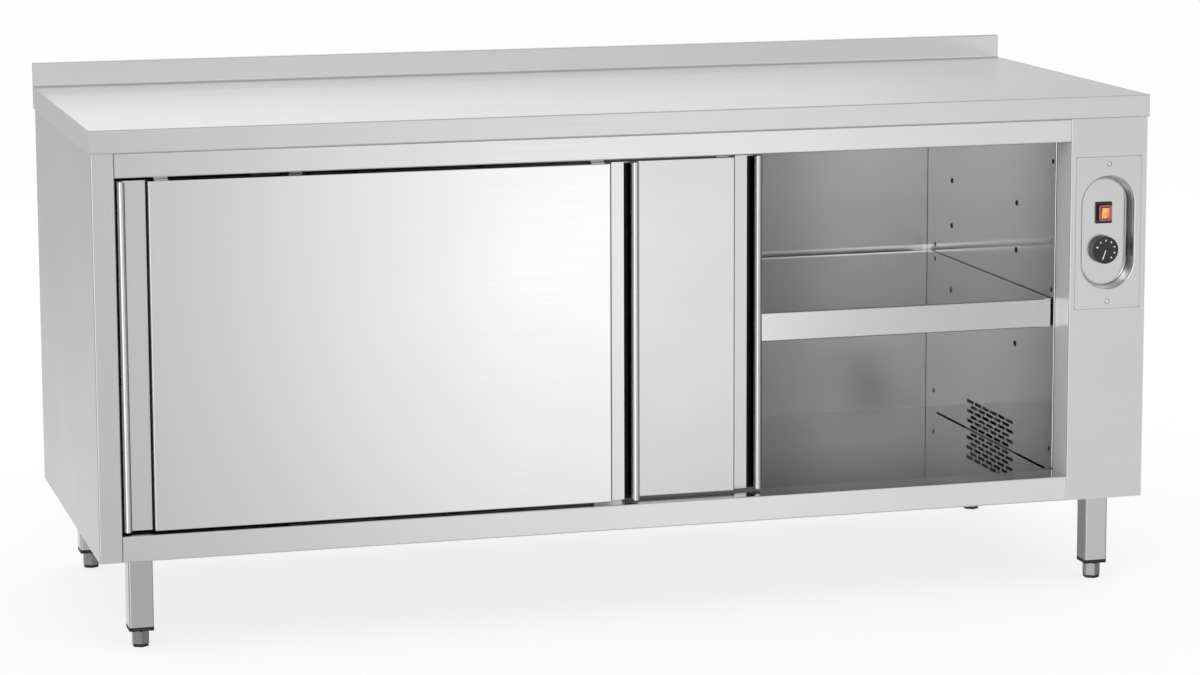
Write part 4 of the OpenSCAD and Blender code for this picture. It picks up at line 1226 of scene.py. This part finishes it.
@dataclass
class Legs:
    """The four legs with their inserts and levelling feet."""

    corners: tuple[str, ...] = ("front_left", "front_right", "back_left", "back_right")
    ridge_z: float = 31.6 * MM
    ridge_h: float = 1.0 * MM
    ridge_in: float = 0.2 * MM
    ridge_out: float = 0.4 * MM
    ridge_r: Point2 = (2.8 * MM, 3.4 * MM)

    def build(self, wardrobe: Wardrobe) -> None:
        """Dresses the legs and builds the ridge round each insert.

        Args:
            wardrobe: the materials.
        """
        mesh = bmesh.new()
        for corner in self.corners:
            wardrobe.dress(Finish.LEG, f"leg_{corner}")
            wardrobe.dress(Finish.FOOT, f"foot_{corner}")
            low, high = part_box(f"leg_{corner}")
            side = high.x - low.x
            middle = (low + high) / 2
            place = Matrix.Translation((middle.x, middle.y, self.ridge_z)) @ LAID_DOWN
            inner, outer = (soft_rectangle(side + 2 * grow, side + 2 * grow, radius)
                            for grow, radius in zip((-self.ridge_in, self.ridge_out), self.ridge_r))
            ring_into(mesh, inner, outer, self.ridge_h, place)
        wardrobe.dress(Finish.CAP, "leg_inserts")
        ridges = piece_from("insert_ridges", mesh)
        wardrobe.clothe(ridges, Finish.CAP)
        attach(ridges, "cabinet")


# --- Studio ---


@dataclass(frozen=True)
class Glow:
    """A soft bright or dark place in the surround, which the steel mirrors.

    The heading is in degrees to the right of straight ahead of the cabinet's front, or of its back.
    """

    heading: float
    height: float
    spread: Point2
    level: float
    behind: bool = False

    def add_to(self, w: Wiring, headings: dict[bool, bpy.types.NodeSocket],
               height: bpy.types.NodeSocket) -> bpy.types.NodeSocket:
        """Adds the place's light.

        Args:
            w: the world's wiring.
            headings: the sockets of a ray's heading from the front and from the back, in radians.
            height: the socket of its angle above the horizon, in radians.

        Returns:
            The socket of the light.
        """
        offs = []
        for value, middle, spread in ((headings[self.behind], self.heading, self.spread[0]),
                                      (height, self.height, self.spread[1])):
            off = w.math("DIVIDE", w.math("SUBTRACT", value, math.radians(middle)), math.radians(spread))
            offs.append(w.math("MULTIPLY", off, off))
        fall = w.math("EXPONENT", w.math("MULTIPLY", w.math("ADD", offs[0], offs[1]), -1.0))
        return w.math("MULTIPLY", fall, self.level)


@dataclass
class Studio:
    """A plain pale floor, a white surround, soft lamps and the camera.

    Each lamp has its name, place, side and power.
    """

    eye: Point3 = (-1.68175, -6.12728, 1.52297)
    yaw: float = 16.1121
    pitch: float = 8.6466
    roll: float = 0.1253
    lens: float = 111.3617
    shift: Point2 = (-0.028, -0.0655)
    ambient: float = 0.85
    mirrored: float = 0.52
    floor_half: float = 14.0
    floor_t: float = 10.0 * MM
    floor_tone: float = 0.95
    floor_glow: float = 1.06
    glow_share: float = 0.72
    glows: tuple[Glow, ...] = (
        Glow(15.5, -8.5, (4.4, 5.0), 1.05),
        Glow(3.0, -6.0, (5.0, 8.0), -0.12),
        Glow(26.0, -10.0, (4.5, 6.0), 0.48),
        Glow(12.0, 12.0, (9.0, 8.0), 0.75),
        Glow(-23.0, 0.0, (12.0, 25.0), 1.9),
        Glow(-48.0, 0.0, (12.0, 30.0), -0.22),
        Glow(75.0, 0.0, (28.0, 45.0), -0.25),
        Glow(5.0, 10.0, (18.0, 10.0), 0.45, behind=True),
        Glow(-8.0, -14.5, (7.0, 6.0), 0.5, behind=True),
        Glow(-26.0, -13.0, (8.0, 9.0), -0.35, behind=True))
    lamps: tuple[tuple[str, Point3, float, float], ...] = (
        ("key_lamp", (-2.6, -4.2, 3.6), 3.0, 30.0),
        ("fill_lamp", (3.4, -3.2, 2.6), 2.6, 8.0),
        ("back_lamp", (0.5, 3.6, 3.2), 3.0, 12.0))
    aim: Point3 = (0.0, 0.0, 0.5)

    def build(self) -> None:
        """Builds the studio."""
        self.surround()
        self.floor()
        self.light()
        self.camera()

    def surround(self) -> None:
        """Makes the world: white where it is seen, and soft bright and dark places for the steel."""
        world = bpy.data.worlds.new("studio")
        bpy.context.scene.world = world
        world.use_nodes = True
        w = Wiring(world.node_tree)
        rays = w.add("LightPath")
        x, y, z = w.axes("Generated").values()
        headings = {False: w.math("ARCTAN2", x, w.math("MULTIPLY", y, -1.0)), True: w.math("ARCTAN2", x, y)}
        height = w.math("ARCSINE", z)
        level: object = self.mirrored
        for glow in self.glows:
            level = w.math("ADD", level, glow.add_to(w, headings, height))
        matt_rays = w.math("SUBTRACT", 1.0, rays.outputs["Is Glossy Ray"])
        glossy = w.math("ADD", w.math("MULTIPLY", level, rays.outputs["Is Glossy Ray"]),
                        w.math("MULTIPLY", matt_rays, self.ambient))
        seen = w.math("MAXIMUM", rays.outputs["Is Camera Ray"], rays.outputs["Is Transmission Ray"])
        strength = w.math("ADD", seen, w.math("MULTIPLY", w.math("SUBTRACT", 1.0, seen), glossy))
        background = w.add("Background")
        w.join(strength, background.inputs["Strength"])
        background.inputs["Color"].default_value = (1.0, 1.0, 1.0, 1.0)
        output = w.add("OutputWorld")
        w.join(background.outputs[0], output.inputs["Surface"])

    def floor(self) -> None:
        """Makes the pale floor, which keeps the cabinet's shadow."""
        mesh = bmesh.new()
        half = self.floor_half
        slab_into(mesh, [(-half, -half), (half, -half), (half, half), (-half, half)], self.floor_t,
                  LAID_DOWN @ Matrix.Translation((0, self.floor_t, 0)))
        floor = piece_from("floor", mesh)
        material = bpy.data.materials.new("pale_floor")
        material.use_nodes = True
        w = Wiring(material.node_tree)
        rays = w.add("LightPath")
        matt = w.add("BsdfDiffuse")
        matt.inputs["Color"].default_value = (*grey(self.floor_tone), 1.0)
        glow = w.add("Emission")
        glow.inputs["Strength"].default_value = self.floor_glow
        pale, whole = w.add("MixShader"), w.add("MixShader")
        for mix, sources in ((pale, (self.glow_share, matt.outputs[0], glow.outputs[0])),
                             (whole, (rays.outputs["Is Glossy Ray"], pale.outputs[0],
                                      w.add("BsdfTransparent").outputs[0]))):
            for source, target in zip(sources, mix.inputs):
                w.join(source, target)
        w.join(whole.outputs[0], w.add("OutputMaterial").inputs["Surface"])
        floor.data.materials.append(material)

    def light(self) -> None:
        """Hangs the soft lamps, each turned to the cabinet."""
        for name, place, size, power in self.lamps:
            data = bpy.data.lights.new(name, "AREA")
            data.shape = "SQUARE"
            data.size = size
            data.energy = power
            lamp = bpy.data.objects.new(name, data)
            lamp.location = place
            lamp.rotation_mode = "QUATERNION"
            lamp.rotation_quaternion = (Vector(self.aim) - Vector(place)).to_track_quat("-Z", "Y")
            bpy.context.scene.collection.objects.link(lamp)

    def camera(self) -> None:
        """Places the camera where the photograph was taken from."""
        data = bpy.data.cameras.new("camera")
        data.sensor_fit = "HORIZONTAL"
        data.sensor_width = 36.0
        data.lens = self.lens
        data.shift_x, data.shift_y = self.shift
        data.clip_start, data.clip_end = 0.05, 100.0
        eye = bpy.data.objects.new("camera", data)
        bpy.context.scene.collection.objects.link(eye)
        turn = (Matrix.Rotation(math.radians(-self.yaw), 4, "Z")
                @ Matrix.Rotation(math.radians(90 - self.pitch), 4, "X")
                @ Matrix.Rotation(math.radians(-self.roll), 4, "Z"))
        eye.matrix_world = Matrix.Translation(self.eye) @ turn
        bpy.context.scene.camera = eye


def main() -> None:
    """Builds every sub-assembly in order and reports each piece."""
    logging.basicConfig(level=logging.INFO, format="%(name)s: %(message)s")
    wardrobe = Wardrobe()
    for assembly in (Worktop(), Shell(), Interior(), SlidingDoors(), Controls(), Heating(), Legs()):
        assembly.build(wardrobe)
        LOG.info("finished %s", type(assembly).__name__)
    Studio().build()
    bpy.context.scene.view_settings.view_transform = "Standard"


if __name__ == "__main__":
    main()
